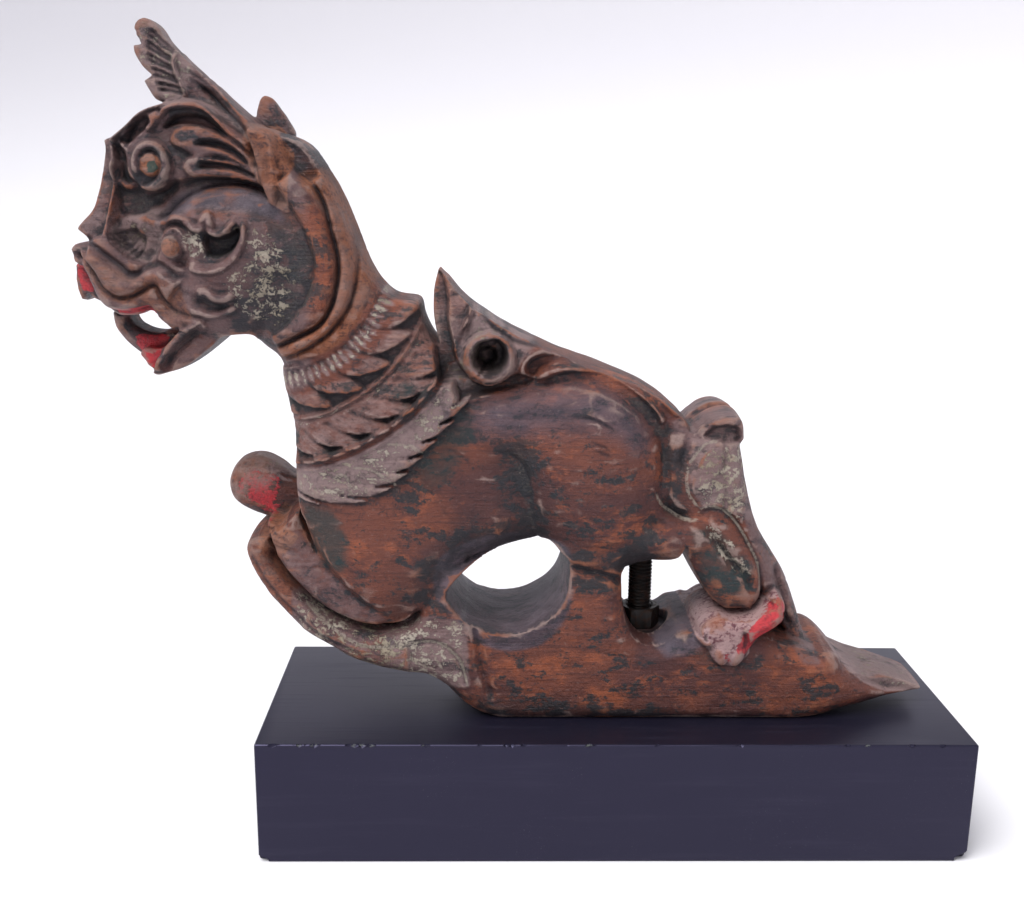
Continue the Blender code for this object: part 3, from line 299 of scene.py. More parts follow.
def thread_tree():
    """Geometry nodes that turn a plain cylinder into a threaded one."""
    tree = bpy.data.node_groups.new("rolled_thread", "GeometryNodeTree")
    tree.interface.new_socket("Geometry", in_out="OUTPUT", socket_type="NodeSocketGeometry")
    keys = {name: tree.interface.new_socket(name, in_out="INPUT", socket_type="NodeSocket" + kind).identifier
        for name, kind in THREAD_SOCKETS}
    nodes = Nodes(tree)
    given = {socket.name: Wire(nodes, socket) for socket in tree.nodes.new("NodeGroupInput").outputs}
    bar = nodes.add("GeometryNodeMeshCylinder", {"fill_type": "TRIANGLE_FAN"},
        {"Vertices": given["Sides"], "Side Segments": given["Rings"], "Radius": given["Radius"],
        "Depth": given["Length"]})
    position = nodes.add("GeometryNodeInputPosition", {}, {})
    at = nodes.add("ShaderNodeSeparateXYZ", {}, {0: position})
    x, y, z = (Wire(nodes, socket) for socket in at.socket.node.outputs)
    turn = nodes.sum("ARCTAN2", y, x) / math.tau
    wave = nodes.sum("PINGPONG", z / given["Pitch"] + turn, 0.5)
    share = 1.0 - (1.0 - wave * 2.0) * given["Depth"] / given["Radius"]
    scale = nodes.add("ShaderNodeCombineXYZ", {}, {"X": share, "Y": share, "Z": 1.0})
    moved = nodes.add("ShaderNodeVectorMath", {"operation": "MULTIPLY"}, {0: position, 1: scale})
    thread = nodes.add("GeometryNodeSetPosition", {}, {"Geometry": bar, "Position": moved})
    thread = nodes.add("GeometryNodeTransform", {}, {"Geometry": thread, "Translation": given["Place"]})
    thread = nodes.add("GeometryNodeRealizeInstances", {}, {"Geometry": thread})
    thread = nodes.add("GeometryNodeSetMaterial", {}, {"Geometry": thread, "Material": given["Finish"]})
    nodes.feed(tree.nodes.new("NodeGroupOutput").inputs[0], thread)
    return tree, keys


def make_rod():
    low, high = map(Vector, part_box("mounting_rod"))
    length = high.z - low.z
    steel = steel_finish()
    blank = placed("rod_blank", bpy.data.meshes.new("rod_blank"))
    thread = blank.modifiers.new("thread", "NODES")
    thread.node_group, keys = thread_tree()
    for name, value in (("Radius", (high.x - low.x) / 2), ("Length", length), ("Pitch", THREAD_PITCH),
            ("Depth", THREAD_DEPTH), ("Sides", THREAD_SIDES), ("Rings",
            round(length / THREAD_PITCH * THREAD_STEPS)), ("Place", (low + high) / 2), ("Finish", steel)):
        thread[keys[name]] = value
    mesh = baked("threaded_rod", blank)
    smooth_but(mesh, THREAD_SHARP)
    piece_from("threaded_rod", mesh, steel, "mounting_rod")
    return steel


steel = make_rod()


# The nut: a hexagonal steel nut with its corners turned off, run down the rod onto the floor of its pocket
# in the log.
NUT_BORE_GAP = 0.0003
NUT_CHAMFER = 0.0011
NUT_EDGE = 0.0002
NUT_TURNED = 1.015
NUT_CORNER = 0.14
NUT_POINTS = 48
NUT_SHARP = 25


def make_nut():
    low, high = map(Vector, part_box("hex_nut"))
    rod_low, rod_high = map(Vector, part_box("mounting_rod"))
    middle = (low + high) / 2
    flats = min(high.x - low.x, high.y - low.y) / 2
    bore = (rod_high.x - rod_low.x) / 2 + NUT_BORE_GAP
    top, base = high.z, low.z
    shape = bmesh.new()
    rings = []
    for i in range(NUT_POINTS):
        angle = math.tau * i / NUT_POINTS
        side = (math.degrees(angle) + 60) % 60 - 30
        hexagon = flats / math.cos(math.radians(side))
        chamfered = min(hexagon, flats * NUT_TURNED)
        drop = NUT_CHAMFER * (hexagon - chamfered) / (flats * NUT_CORNER)
        profile = ((bore + NUT_CHAMFER, top), (chamfered, top), (hexagon, top - drop - NUT_EDGE),
            (hexagon, base + drop + NUT_EDGE), (chamfered, base), (bore + NUT_CHAMFER, base),
            (bore, base + NUT_CHAMFER), (bore, top - NUT_CHAMFER))
        rings.append([shape.verts.new((middle.x + r * math.cos(angle), middle.y + r * math.sin(angle), z))
            for r, z in profile])
    for ring, following in zip(rings, rings[1:] + rings[:1]):
        for k in range(len(ring)):
            shape.faces.new((ring[k - 1], following[k - 1], following[k], ring[k]))
    bmesh.ops.recalc_face_normals(shape, faces=shape.faces[:])
    mesh = mesh_of("steel_nut", shape)
    smooth_but(mesh, NUT_SHARP)
    piece_from("steel_nut", mesh, steel, "hex_nut")


make_nut()


# The carving: beast, log and scroll in one piece of close-grained timber, sawn to its side view and then
# carved from both faces. It was painted and lacquered over a pale ground, and most of the paint has worn
# back to red-brown wood. It sits on the block with its rod bore over the block's.
FIGURE_LENGTH = 0.4502
BLOCK_HEIGHT = 0.065
ROD_DIAMETER = 0.0127
ROD_X = 0.016
ROD_IN_BELLY = 0.032
POCKET_DIAMETER = 0.031
CLEARANCE = 0.0003

# The figure's own drawing, in millimetres of a figure this long
DRAWN_LENGTH = 450.2
BORE_DRAWN_X = 16.0
POCKET_FLOOR = 39.7
POCKET_TOP = 54.0
BELLY_Z = 79.0

# The board on which the side view is drawn, in drawn millimetres, and the stretches of a curve between two
# of its points
BOARD_LOW = (-284.0, -8.0)
BOARD_HIGH = (192.0, 360.0)
CURVE_STEPS = 6

# Shape of the wood across its thickness, in drawn millimetres: the far side's share of the relief, how far
# the outline draws in towards the two faces, the beads of the nose and the valley in the top of the tail
FAR_SHARE = 0.7
CROWN = 3.0
BROW_CROWN = 7.0
CROWN_AT = 40.0
NOSE_BEAD = 1.8
NOSE_BEAD_AT = 8.5
NOSE_BEAD_WIDTH = 2.4
TAIL_VALLEY = 4.5
TAIL_VALLEY_AT = 1.0
TAIL_VALLEY_WIDTH = 5.0

# The collar: the centre it is laid round, its front part in degrees, and for each row of leaves where the
# roots and the tips lie, the first leaf's angle, the pitch and how far a leaf sweeps back
COLLAR_CENTRE = (-175, 240)
COLLAR_START = 4
COLLAR_END = -97
NECK_HALF = 33
NECK_ROUNDING = 18
LEAF_ROWS = ((60, 82, -14, 12.6, 10), (88, 105, -26, 8.9, 9))
LEAF_LIFT = 4.2
LEAF_TILT = 3.2
LEAF_RIM = 2.2
LEAF_FLUTE = 0.55
COLLAR_RINGS = ((58.5, 2.6, 1.5), (84.0, 2.2, 2.2), (87.5, 1.6, 1.2), (104.5, 2.4, 2.6), (108.5, 1.5, 1.2))
HEM_ROOT = 100
HEM_THICKNESS = 5.8
HEM_REACH = 118.5
HEM_BULGE = 8.5
HEM_BULGE_AT = -66
HEM_BULGE_WIDTH = 13
TOOTH_PITCH = 6.6
TOOTH_DEPTH = 5.4
TIERS = (58, 103)

# A distance farther than any that counts, the least length of a stretch and the softest join of two rims
FAR = 60.0
SHORTEST = 1e-6
SOFTEST_RIM = 3.0

SCALE = FIGURE_LENGTH / DRAWN_LENGTH
SEAT_Z = BLOCK_HEIGHT + CLEARANCE
BORE_RADIUS = ROD_DIAMETER / 2 + CLEARANCE


def curve(points, steps=CURVE_STEPS, closed=False):
    """A smooth curve through the points, with steps stretches between each two."""
    knots = np.array(points, float)
    if closed:
        ends = (knots[-1:], knots, knots[:2])
    else:
        ends = (2 * knots[:1] - knots[1:2], knots, 2 * knots[-1:] - knots[-2:-1])
    p = np.concatenate(ends)
    t = np.linspace(0, 1, steps, endpoint=False)[:, None]
    made = []
    for a, b, c, d in zip(p, p[1:], p[2:], p[3:]):
        bend = (2 * a - 5 * b + 4 * c - d) * t**2
        twist = (3 * b - 3 * c + d - a) * t**3
        made.append(0.5 * (2 * b + (c - a) * t + bend + twist))
    made = np.concatenate(made)
    return made if closed else np.concatenate([made, knots[-1:]])


def loop(points):
    """A smooth closed curve through the points."""
    return curve(points, closed=True)


def path_of(points):
    """A path given as bare points is drawn as a smooth curve; a finished one stays as it is."""
    return points if isinstance(points, np.ndarray) else curve(points)


def arc(centre, radius, start, end, steps=12):
    """Points along an arc, with its angles in degrees from +x towards +z."""
    angles = np.radians(np.linspace(start, end, steps))
    return np.array(centre) + radius * np.column_stack([np.cos(angles), np.sin(angles)])


def smooth_max(a, b, soft):
    """The larger of two heights, with the valley between them filled over a width of soft."""
    overlap = np.maximum(soft - np.abs(a - b), 0) / soft
    return np.maximum(a, b) + overlap**2 * soft / 4


def smooth_step(value, low, high):
    """0 below low, 1 above high, and a smooth rise between them."""
    t = np.clip((value - low) / (high - low), 0, 1)
    return t * t * (3 - 2 * t)


def tapered(share, taper):
    """1 along a path, falling off to 0 over a share of it at both ends."""
    return smooth_step(share, 0, taper) * smooth_step(1 - share, 0, taper) if taper else 1


def between(first, second):
    """The outline of the strip between two paths that run the same way."""
    return np.concatenate([first, second[::-1]])


class Board:
    """The carver's board: over an even grid of the side view, how far inside the outline each place is
    (edge, negative outside) and how far the wood reaches from the middle plane (half): half[0] towards
    the shown side and half[1] towards the far side, whose relief is shallower."""

    def __init__(self, step):
        self.step = step
        self.low = BOARD_LOW
        across = np.arange(BOARD_LOW[0], BOARD_HIGH[0], step)
        up = np.arange(BOARD_LOW[1], BOARD_HIGH[1], step)
        self.x, self.z = (g.astype(np.float32) for g in np.meshgrid(across, up, indexing="ij"))
        self.edge = np.full(self.x.shape, -FAR, np.float32)
        self.half = np.zeros((2, *self.x.shape), np.float32)

    def window(self, points, margin):
        """The part of the grid around the points."""
        low = (np.min(points, axis=0) - margin - self.low) / self.step
        high = (np.max(points, axis=0) + margin - self.low) / self.step
        first = np.maximum(low.astype(int), 0)
        last = np.maximum(high.astype(int) + 2, 0)
        return slice(first[0], last[0]), slice(first[1], last[1])

    def along(self, path, margin=14.0, box=None):
        """Distance to a path and share of the way along it, over a part of the grid."""
        box = box or self.window(path, margin)
        x, z = self.x[box], self.z[box]
        best = np.full(x.shape, FAR**2, np.float32)
        share = np.zeros_like(best)
        lengths = np.maximum(np.hypot(*np.diff(path, axis=0).T), SHORTEST)
        done = 0.0
        for (ax, az), (bx, bz), length in zip(path, path[1:], lengths):
            ux, uz = (bx - ax) / length, (bz - az) / length
            t = np.clip((x - ax) * ux + (z - az) * uz, 0, length)
            dx, dz = x - ax - t * ux, z - az - t * uz
            gap = dx * dx + dz * dz
            nearer = gap < best
            best = np.where(nearer, gap, best)
            share = np.where(nearer, (done + t) / lengths.sum(), share)
            done += length
        return box, np.sqrt(best), share

    def inside(self, outline, margin=14.0):
        """Distance inside a closed outline, negative outside it."""
        closed = np.concatenate([outline, outline[:1]])
        box, distance, _ = self.along(closed, margin)
        x, z = self.x[box], self.z[box]
        within = np.zeros(x.shape, bool)
        for (ax, az), (bx, bz) in zip(closed, closed[1:]):
            if az != bz:
                crosses = (az > z) != (bz > z)
                within ^= crosses & (x < (bx - ax) * (z - az) / (bz - az) + ax)
        return box, np.where(within, distance, -distance)

    def reshape(self, side, box, half):
        """Takes the wood of one side to half from the middle plane."""
        self.half[side][box] = half

    def carve(self, box, rise):
        """Raises or lowers the surface: in full on the shown side, less deeply on the far side."""
        self.half[0][box] += rise
        self.half[1][box] += rise * FAR_SHARE

    def mass(self, outline, half, rounding, soft=4.0, sides=(0, 1)):
        """Adds wood inside an outline, half thick on the given sides of the middle plane, its rim rounded."""
        box, depth = self.inside(outline)
        if callable(half):
            half = half(self.x[box], self.z[box])
        drop = np.clip(rounding - depth, 0, rounding)
        rise = half - rounding + np.sqrt(rounding**2 - drop**2)
        rise = np.where(depth > 0, rise, 0)
        for side in sides:
            self.reshape(side, box, smooth_max(self.half[side][box], rise, soft))
        self.edge[box] = smooth_max(self.edge[box], depth, min(soft, SOFTEST_RIM))

    def dome(self, centre, radii, top, tilt=0.0, base=0.0, soft=4.0, sides=(0, 1)):
        """Adds a rounded swelling: an ellipse whose middle stands top from the middle plane."""
        cos, sin = math.cos(math.radians(tilt)), math.sin(math.radians(tilt))
        box = self.window(np.array([centre]), max(radii))
        dx, dz = self.x[box] - centre[0], self.z[box] - centre[1]
        reach = ((dx * cos + dz * sin) / radii[0])**2 + ((dz * cos - dx * sin) / radii[1])**2
        rise = np.where(reach < 1, base + (top - base) * np.sqrt(np.maximum(1 - reach, 0)), 0)
        for side in sides:
            self.reshape(side, box, smooth_max(self.half[side][box], rise, soft))

    def cut(self, outline):
        """Removes the wood inside an outline, right through."""
        box, depth = self.inside(outline)
        self.edge[box] = np.minimum(self.edge[box], -depth)

    def press(self, outline, half, soft=3.0, sides=(0, 1)):
        """Carves the wood inside an outline down to half from the middle plane."""
        box, depth = self.inside(outline)
        if callable(half):
            half = half(self.x[box], self.z[box])
        blend = smooth_step(depth, -soft / 2, soft / 2)
        for side in sides:
            was = self.half[side][box]
            self.reshape(side, box, was + (np.minimum(was, half) - was) * blend)

    def sink(self, outline, depth, soft=3.0):
        """Lowers the surface inside an outline by an even depth."""
        box, within = self.inside(outline)
        self.carve(box, -depth * smooth_step(within, -soft / 2, soft / 2))

    def groove(self, path, width, depth, taper=0.15):
        """Carves a rounded furrow along a path, or with a negative depth raises a bead."""
        box, distance, share = self.along(path_of(path), width * 2)
        across = np.maximum(1 - distance / (width * 0.8), 0)
        self.carve(box, -depth * tapered(share, taper) * across**1.2)

    def band(self, first, second, height):
        """Swells the strip between two paths that run the same way into a roll."""
        first, second = path_of(first), path_of(second)
        box, depth = self.inside(between(first, second))
        _, to_first, _ = self.along(first, box=box)
        _, to_second, _ = self.along(second, box=box)
        across = (to_first - to_second) / np.maximum(to_first + to_second, 0.01)
        profile = np.sqrt(np.maximum(1 - across**2, 0)) * np.clip(depth / 1.5, 0, 1)
        self.carve(box, np.where(depth > 0, height * profile, 0))

    def roll(self, path, widths, height, taper=0.0):
        """Lays a rounded band along a path: widths are its half-widths at the start and the end."""
        box, distance, share = self.along(path_of(path), max(widths) + 4)
        reach = widths[0] + (widths[1] - widths[0]) * share
        profile = np.sqrt(np.maximum(1 - (distance / reach)**2, 0))
        self.carve(box, height * tapered(share, taper) * profile)

    def polar(self, centre):
        """Distance from a centre and angle round it, in degrees from +x towards +z."""
        dx, dz = self.x - centre[0], self.z - centre[1]
        return np.hypot(dx, dz), np.degrees(np.arctan2(dz, dx))


def carve_log(board):
    """The log under the lion: scroll strip at the left, scoop, post, nut recess and raw wedge at its end."""
    low = curve([(-183, 96), (-188, 93), (-189, 87), (-186, 78), (-180, 67), (-171, 56), (-160, 45),
        (-148, 38), (-136, 31), (-122, 26), (-108, 23), (-98, 22), (-89, 17), (-80, 8), (-70, 1), (-58, -3)])
    tip = curve([(94, -3), (104, -2), (114, 0.5), (131, 3.5), (150, 6.5), (166, 8.5), (168, 9.5), (166, 11),
        (158, 14), (147, 17.5), (136, 20), (128, 23)])
    top = curve([(121, 26), (119, 32), (112, 36), (104, 36), (92, 40), (72, 46), (56, 49), (44, 49), (34, 48),
        (28, 44), (20, 41), (13, 43), (8, 50), (5, 60), (4, 72)])
    rise = np.array([(4, 92), (-30, 96)])
    strip = curve([(-88, 80), (-97, 60), (-108, 51), (-122, 47), (-140, 52), (-156, 64), (-170, 79),
        (-177, 96)])
    outline = np.concatenate([low, tip, top, rise, strip])
    board.mass(outline, lambda x, z: 34.5 - 12 * smooth_step(x, 100, 170) - 5 * smooth_step(-x, 130, 184), 10)
    board.cut(curve([(-94, 99), (-88, 75), (-82.5, 62), (-73, 53), (-61, 49), (-47, 50.5), (-34, 58),
        (-27.5, 69), (-26, 87), (-28, 99)]))
    board.press([(112, 40), (119, 28), (131, 17.5), (147, 11), (166, 9), (190, 9), (190, 44)],
        lambda x, z: 25 - 8 * smooth_step(x, 125, 160), soft=4)
    board.groove([(-74, 58), (-71, 46), (-69, 31), (-66, 20), (-62, 10)], 4, 2.5, taper=0.1)
    board.groove([(-28, 84), (-9, 79), (-2, 77), (4, 73)], 4, 3.5, taper=0.1)
    board.band([(-157, 60), (-148, 52), (-135, 43), (-126, 40), (-114, 40), (-105, 42)],
        [(-162, 47), (-148, 39), (-135, 33), (-124, 29), (-114, 27), (-105, 26)], 1.6)
    board.groove([(-107, 41), (-95, 43), (-87, 40), (-80, 33), (-77, 24), (-76, 17)], 2.4, 1.2)


def carve_hind_leg(board):
    """The shank from the knee down to the foot on the log, and the broad leafy tail behind it."""
    crown = curve([(12, 146), (20, 150), (28, 153), (36, 152), (40, 155), (46, 159), (53, 161), (59, 160),
        (62, 156), (63, 148)])
    back = curve([(61, 145), (63, 136), (65, 126), (68, 115), (71, 106), (76, 96), (81, 88), (87, 79),
        (92, 69), (97, 56), (102, 42), (108, 27)])
    front = curve([(96, 33), (88, 50), (80, 62), (60, 72), (36, 92), (16, 108), (8, 130)])
    board.mass(np.concatenate([crown, back, front]), lambda x, z: 30 - 13 * smooth_step(x, 62, 98), 8, soft=3)
    leaf = curve([(51, 151), (46, 147), (40, 142), (36, 134), (35, 125), (37, 118), (42, 112)])
    spine = curve([(51, 151), (52, 142), (52, 134), (53, 124), (53, 112)])
    board.band(leaf, spine, 1.6)
    board.band(spine, curve([(60, 147), (62, 136), (64, 124), (65, 112), (63, 104)]), 1.2)
    board.roll([(33, 151), (34, 155), (37, 158), (42, 159), (48, 159), (54, 159.5), (58, 156)], (3, 4), 4,
        taper=0.12)
    board.sink(loop([(42, 150), (46, 154), (52, 155.5), (58, 154), (59, 148), (52, 147)]), 3.6, soft=2)
    board.groove([(34, 153), (33, 146), (31, 139), (31, 130)], 4, 2.0, taper=0.3)

    shank_front = curve([(29, 108), (32, 96), (35, 86), (40, 76), (47, 65), (56, 58)])
    shank_back = curve([(41, 111), (46, 113), (52, 112), (58, 107), (64, 98), (70, 88), (74, 78), (75, 66),
        (70, 58)])
    board.mass(between(shank_front, shank_back), 34.5, 11, soft=2)
    board.groove([(40, 106), (47, 100), (53, 92), (59, 84), (66, 77), (70, 68)], 4.5, 3.4, taper=0.15)
    board.groove(shank_back, 2.6, 1.8, taper=0.1)
    board.groove([(82, 82), (85, 72), (89, 62), (91, 51), (96, 42)], 4, 4, taper=0.15)

    foot = loop([(41, 52), (45, 57), (52, 60), (60, 58), (68, 59), (76, 64), (82, 68), (86, 65), (86.5, 57),
        (83.5, 52), (76, 47), (71, 42), (67.5, 36), (62, 32), (56, 31.5), (51, 35), (47.5, 40), (43.5, 42),
        (41, 46)])
    board.mass(foot, 39.5, 9, soft=1.5, sides=(0,))
    board.mass(foot + (4, -8), 36, 6, soft=2, sides=(1,))
    board.band([(63, 53), (69, 56), (76, 61), (82.5, 67)], [(68, 43), (72, 46), (79.5, 50.5), (86, 58)], 2.2)
    board.groove([(62, 50), (66, 54), (71, 57), (77, 62), (83, 67)], 3.0, -1.6, taper=0.1)
    board.groove([(65, 51), (66, 44), (65, 38)], 2.8, 1.8)
    for toe, lean in (((53.5, 38), 12), ((62, 37.5), -10)):
        board.dome(toe, (4.4, 7.5), 40, tilt=lean, base=34, soft=1.2, sides=(0,))
    board.roll([(43, 52), (42.5, 47), (45.5, 43), (49, 46)], (2.2, 1.6), 2.6, taper=0.2)
    board.groove([(37, 106), (28, 110), (21, 119), (21, 132), (21, 141), (20, 149), (15, 160)], 6, 6,
        taper=0.1)


def carve_wing(board):
    """The upright leaf behind the collar, its bored boss and the scroll that runs back along the spine."""
    front = curve([(-91, 230), (-93.5, 218), (-93, 203), (-88, 188), (-77, 174), (-64, 171)])
    low = curve([(-50, 174), (-30, 174), (0, 164), (22, 140)])
    top = curve([(36, 152), (34, 156), (28, 162), (20, 168), (11, 173), (-8, 181), (-28, 188), (-44, 195),
        (-58, 202), (-76, 214), (-86, 225)])
    board.mass(np.concatenate([front, low, top]), lambda x, z: 25 - 10 * smooth_step(z, 185, 232), 5, soft=2)
    bevel = curve([(-88.5, 228), (-87, 221), (-86, 214), (-86, 206), (-84, 196), (-82, 187), (-78, 181),
        (-73, 177)])
    board.press(np.concatenate([[(-98, 232)], bevel, [(-90, 176)]]),
        lambda x, z: 16 - 8 * smooth_step(z, 185, 232), soft=1.5)
    board.groove([(-73.4, 218), (-69, 209), (-63, 202), (-54, 196.5), (-45, 194), (-37, 194), (-28, 194)],
        2.4, 2.8, taper=0.06)
    board.groove([(-66.5, 212.5), (-60, 206.5), (-51, 202), (-43, 199.5), (-38, 197)], 2.0, 2.2, taper=0.1)
    board.press([(-80, 167), (-69, 170), (-57, 172), (-47, 174), (-43, 177), (-51, 180), (-58, 177),
        (-66, 175), (-73, 176), (-78, 180), (-84, 178)], 20, soft=2)
    board.dome((-65.8, 187.3), (13.4, 13.4), 31, base=27, soft=1)
    board.roll(arc((-65.8, 188.3), 10.8, -180, 180, 24), (1.8, 1.8), 1.6)
    board.press(loop([(-73.4, 187.5), (-71.5, 194), (-66.5, 196), (-61.5, 196.6), (-57.8, 192), (-58, 186),
        (-61, 182), (-66.3, 181), (-71, 182.3)]), 16, soft=3)
    board.press(arc((-67, 187), 5, 0, 330, 9), 8, soft=2)
    outer = curve([(-51, 179), (-51, 184), (-48, 189), (-43, 192), (-35, 193), (-25, 192), (-16, 189.5),
        (-7, 186), (2, 181.5), (11, 176.5), (19, 171), (25.5, 164.5), (31, 158)])
    inner = curve([(-47, 179), (-47, 184), (-43.6, 188), (-36.7, 190), (-30, 190), (-23.6, 189), (-15.6, 186),
        (-7, 182.7), (2, 178.7), (11, 173.4), (18.4, 167), (25.5, 159.5)])
    board.band(outer, inner, 3.6)
    board.sink(loop([(-46, 179), (-46.5, 184), (-43, 187.5), (-36.7, 189), (-29.7, 189), (-21, 187),
        (-25, 186), (-33, 185.5), (-39.5, 183), (-42.6, 179.5)]), 3.5, soft=1.5)
    tongue = curve([(-39, 182), (-34, 184), (-25, 185), (-16, 183.5), (-7, 180.5), (2, 176), (11, 170.5),
        (18.5, 164), (23, 158)])
    under = curve([(-44, 176.5), (-38, 177.5), (-29.5, 180), (-21, 180.5), (-12, 180), (-3, 176.5),
        (6, 170.8), (14, 163.5), (20, 154)])
    board.band(tongue, under, 3.6)


def carve_body(board):
    """Trunk, chest, shoulder and the great round haunch."""
    back = [(-104, 198), (-80, 180), (-64, 180), (-46, 180), (-28, 181), (-10, 178), (5, 171), (16, 160)]
    rump = [(22, 146), (22, 130), (20, 116), (28, 108), (36, 103), (35, 92), (29, 84), (8, 79), (-16, 80),
        (-28, 87)]
    belly = [(-35, 94), (-43, 92.5), (-54.5, 89.5), (-65, 85.5), (-72.5, 81.5), (-80.5, 74.5), (-86, 67.5),
        (-92, 60), (-100, 54), (-110, 50)]
    chest = [(-128, 51), (-142, 62), (-150, 80), (-157, 100), (-161, 118), (-162, 150), (-164, 190)]
    board.mass(curve(back + rump + belly + chest, closed=True), 33, 22, soft=6)
    board.dome((-13, 128), (38, 54), 41, tilt=12, base=16, soft=9)
    board.dome((-122, 92), (42, 54), 37, tilt=30, base=18, soft=12)
    board.dome((28, 96), (22, 12), 36.5, tilt=8, base=20, soft=8)
    board.groove([(-70, 146), (-59, 141), (-52, 133), (-48, 121), (-46, 106), (-42, 90)], 20, 3.0, taper=0.3)
    board.groove([(-58, 143), (-51, 137), (-46, 127), (-43.5, 113), (-41, 98)], 5, 1.2, taper=0.2)
    board.groove([(-80, 163), (-65, 168), (-49, 172), (-34, 176), (-24, 178), (-10, 175), (2, 169), (12, 160),
        (17, 150)], 5.5, 3.2, taper=0.1)


def carve_forelegs(board):
    """The near forearm runs down to the elbow behind the scroll strip; its paw is broken off."""
    upper = curve([(-162, 110), (-159, 104), (-154, 94), (-147, 82), (-138, 71), (-128, 62), (-116, 56)])
    lower = curve([(-176, 97), (-171, 81), (-162, 70), (-150, 58), (-136, 50), (-120, 46)])
    board.mass(between(upper, lower), 32, 8, soft=2)
    board.groove(upper, 4.5, 3.0, taper=0.2)
    board.groove([(-179, 91), (-173, 83), (-165, 72), (-154, 60), (-140, 52), (-127, 48), (-113, 48),
        (-104, 52), (-99, 60)], 4.2, 10, taper=0.08)
    board.groove([(-186, 88), (-176, 70), (-160, 53), (-146, 43), (-128, 36)], 2.2, 1.4, taper=0.1)
    stump = np.array([(-179, 102), (-174, 101), (-166, 99), (-161, 112), (-157, 92), (-172, 90), (-178, 94)])
    board.mass(stump, 20, 3, soft=1.5)


def hem_edge(radius, angle):
    """How far the collar's broad outer leaf reaches, cut into slanting points, and the place along one."""
    tooth = ((angle - 0.8 * (radius - 124) + 67) / TOOTH_PITCH) % 1
    reach = HEM_REACH + HEM_BULGE * np.exp(-((angle - HEM_BULGE_AT) / HEM_BULGE_WIDTH)**2)
    return reach + TOOTH_DEPTH * (0.6 * np.minimum(tooth / 0.35, 1) + 0.4 * tooth) - 0.6, tooth


def leaf_spots(radius, angle, row):
    """For a row of the collar's leaves: the share of the way from root to tip, the place across the leaves,
    counted in leaves, and a leaf's two rims."""
    root, tip, first, pitch, sweep = row
    share = np.clip((radius - root) / (tip - root), 0, 1)
    turned = (first - angle - (1 - share) * sweep) / pitch
    point = np.clip((share - 0.5) / 0.5, 0, 1)
    return share, turned, 0.12 * point**3, 1 - 0.72 * point**1.8


def carve_collar(board):
    """Neck, and the three tiers of the leafy collar laid round it."""
    neck = loop([(-160, 108), (-162, 150), (-164, 170), (-169, 186), (-180, 197), (-192, 230), (-178, 284),
        (-158, 291), (-142, 270), (-132, 247), (-124, 228), (-114, 217), (-101, 214), (-98, 205), (-93, 195),
        (-82, 180), (-88, 145), (-112, 121), (-140, 112)])
    board.mass(neck, NECK_HALF, NECK_ROUNDING, soft=5)
    radius, angle = board.polar(COLLAR_CENTRE)
    front = (angle < COLLAR_START) & (angle > COLLAR_END)
    rim = np.clip(NECK_ROUNDING - np.maximum(board.edge, 0), 0, NECK_ROUNDING)
    round_neck = NECK_HALF - NECK_ROUNDING + np.sqrt(NECK_ROUNDING**2 - rim**2)
    edge, tooth = hem_edge(radius, angle)
    raised = round_neck + HEM_THICKNESS - 1.8 * (1 - tooth) * smooth_step(radius, 112, 128)
    plate = front & (radius > HEM_ROOT) & (radius < edge)
    tiers = front & (radius >= TIERS[0]) & (radius <= TIERS[1])
    for side in (0, 1):
        half = np.where(plate, np.maximum(board.half[side], raised), board.half[side])
        board.reshape(side, ..., np.where(tiers, round_neck, half))
    for row in LEAF_ROWS:
        share, turned, upper, lower = leaf_spots(radius, angle, row)
        across = turned % 1
        leaf = front & (share > 0) & (share < 1) & (across > upper) & (across < lower)
        rim = np.minimum(np.minimum(across - upper, lower - across) * 8, 1)
        rise = 0.3 + LEAF_LIFT * share**0.7 + LEAF_TILT * (across - 0.4) * share
        rise += LEAF_RIM * (np.sqrt(np.maximum(rim, 0)) - 1)
        flutes = LEAF_FLUTE * np.cos(turned * 8 * math.pi) * (1 - 0.5 * share)
        board.carve(..., np.where(leaf, rise + flutes, 0))
    for ring, width, height in COLLAR_RINGS:
        board.carve(..., np.where(front, height * np.exp(-((radius - ring) / (width / 2))**2), 0))


def carve_head(board):
    """Skull with its great cheek, the mane rolled round it, snout, lips and open jaw."""
    skull = loop([(-250, 290), (-246, 292), (-238, 298), (-230, 304), (-219, 307), (-205, 308), (-184, 299),
        (-160, 290), (-142, 269), (-131, 235), (-140, 205), (-162, 190), (-180, 198), (-200, 199),
        (-218, 204), (-229, 212), (-244, 212), (-254, 220), (-262, 232), (-261, 242), (-266, 248),
        (-258, 257), (-255, 264), (-252, 274), (-250, 284)])
    board.mass(skull, 25, 10, soft=3)
    jaw = np.concatenate([curve([(-186, 212), (-200, 206), (-211, 202), (-217, 200), (-221, 196), (-227, 191),
        (-236, 190), (-239, 187)]), curve([(-235, 181), (-229, 177), (-223, 178), (-213, 182), (-201, 191),
        (-194, 196), (-178, 198)])])
    board.mass(jaw, 25, 4, soft=2)
    above_cheek = loop([(-229, 254), (-224, 262), (-216, 268), (-206, 272), (-195, 273.5), (-183, 272.5),
        (-174, 269), (-168, 264), (-180, 262), (-200, 262), (-216, 254)])
    board.press(above_cheek, 19, soft=4)
    board.dome((-188, 231.5), (38.5, 38), 38, base=20, soft=1.5)
    carve_mane(board)
    carve_face(board)
    carve_mouth(board)
    carve_eye(board)
    carve_brow(board)
    carve_crest(board)


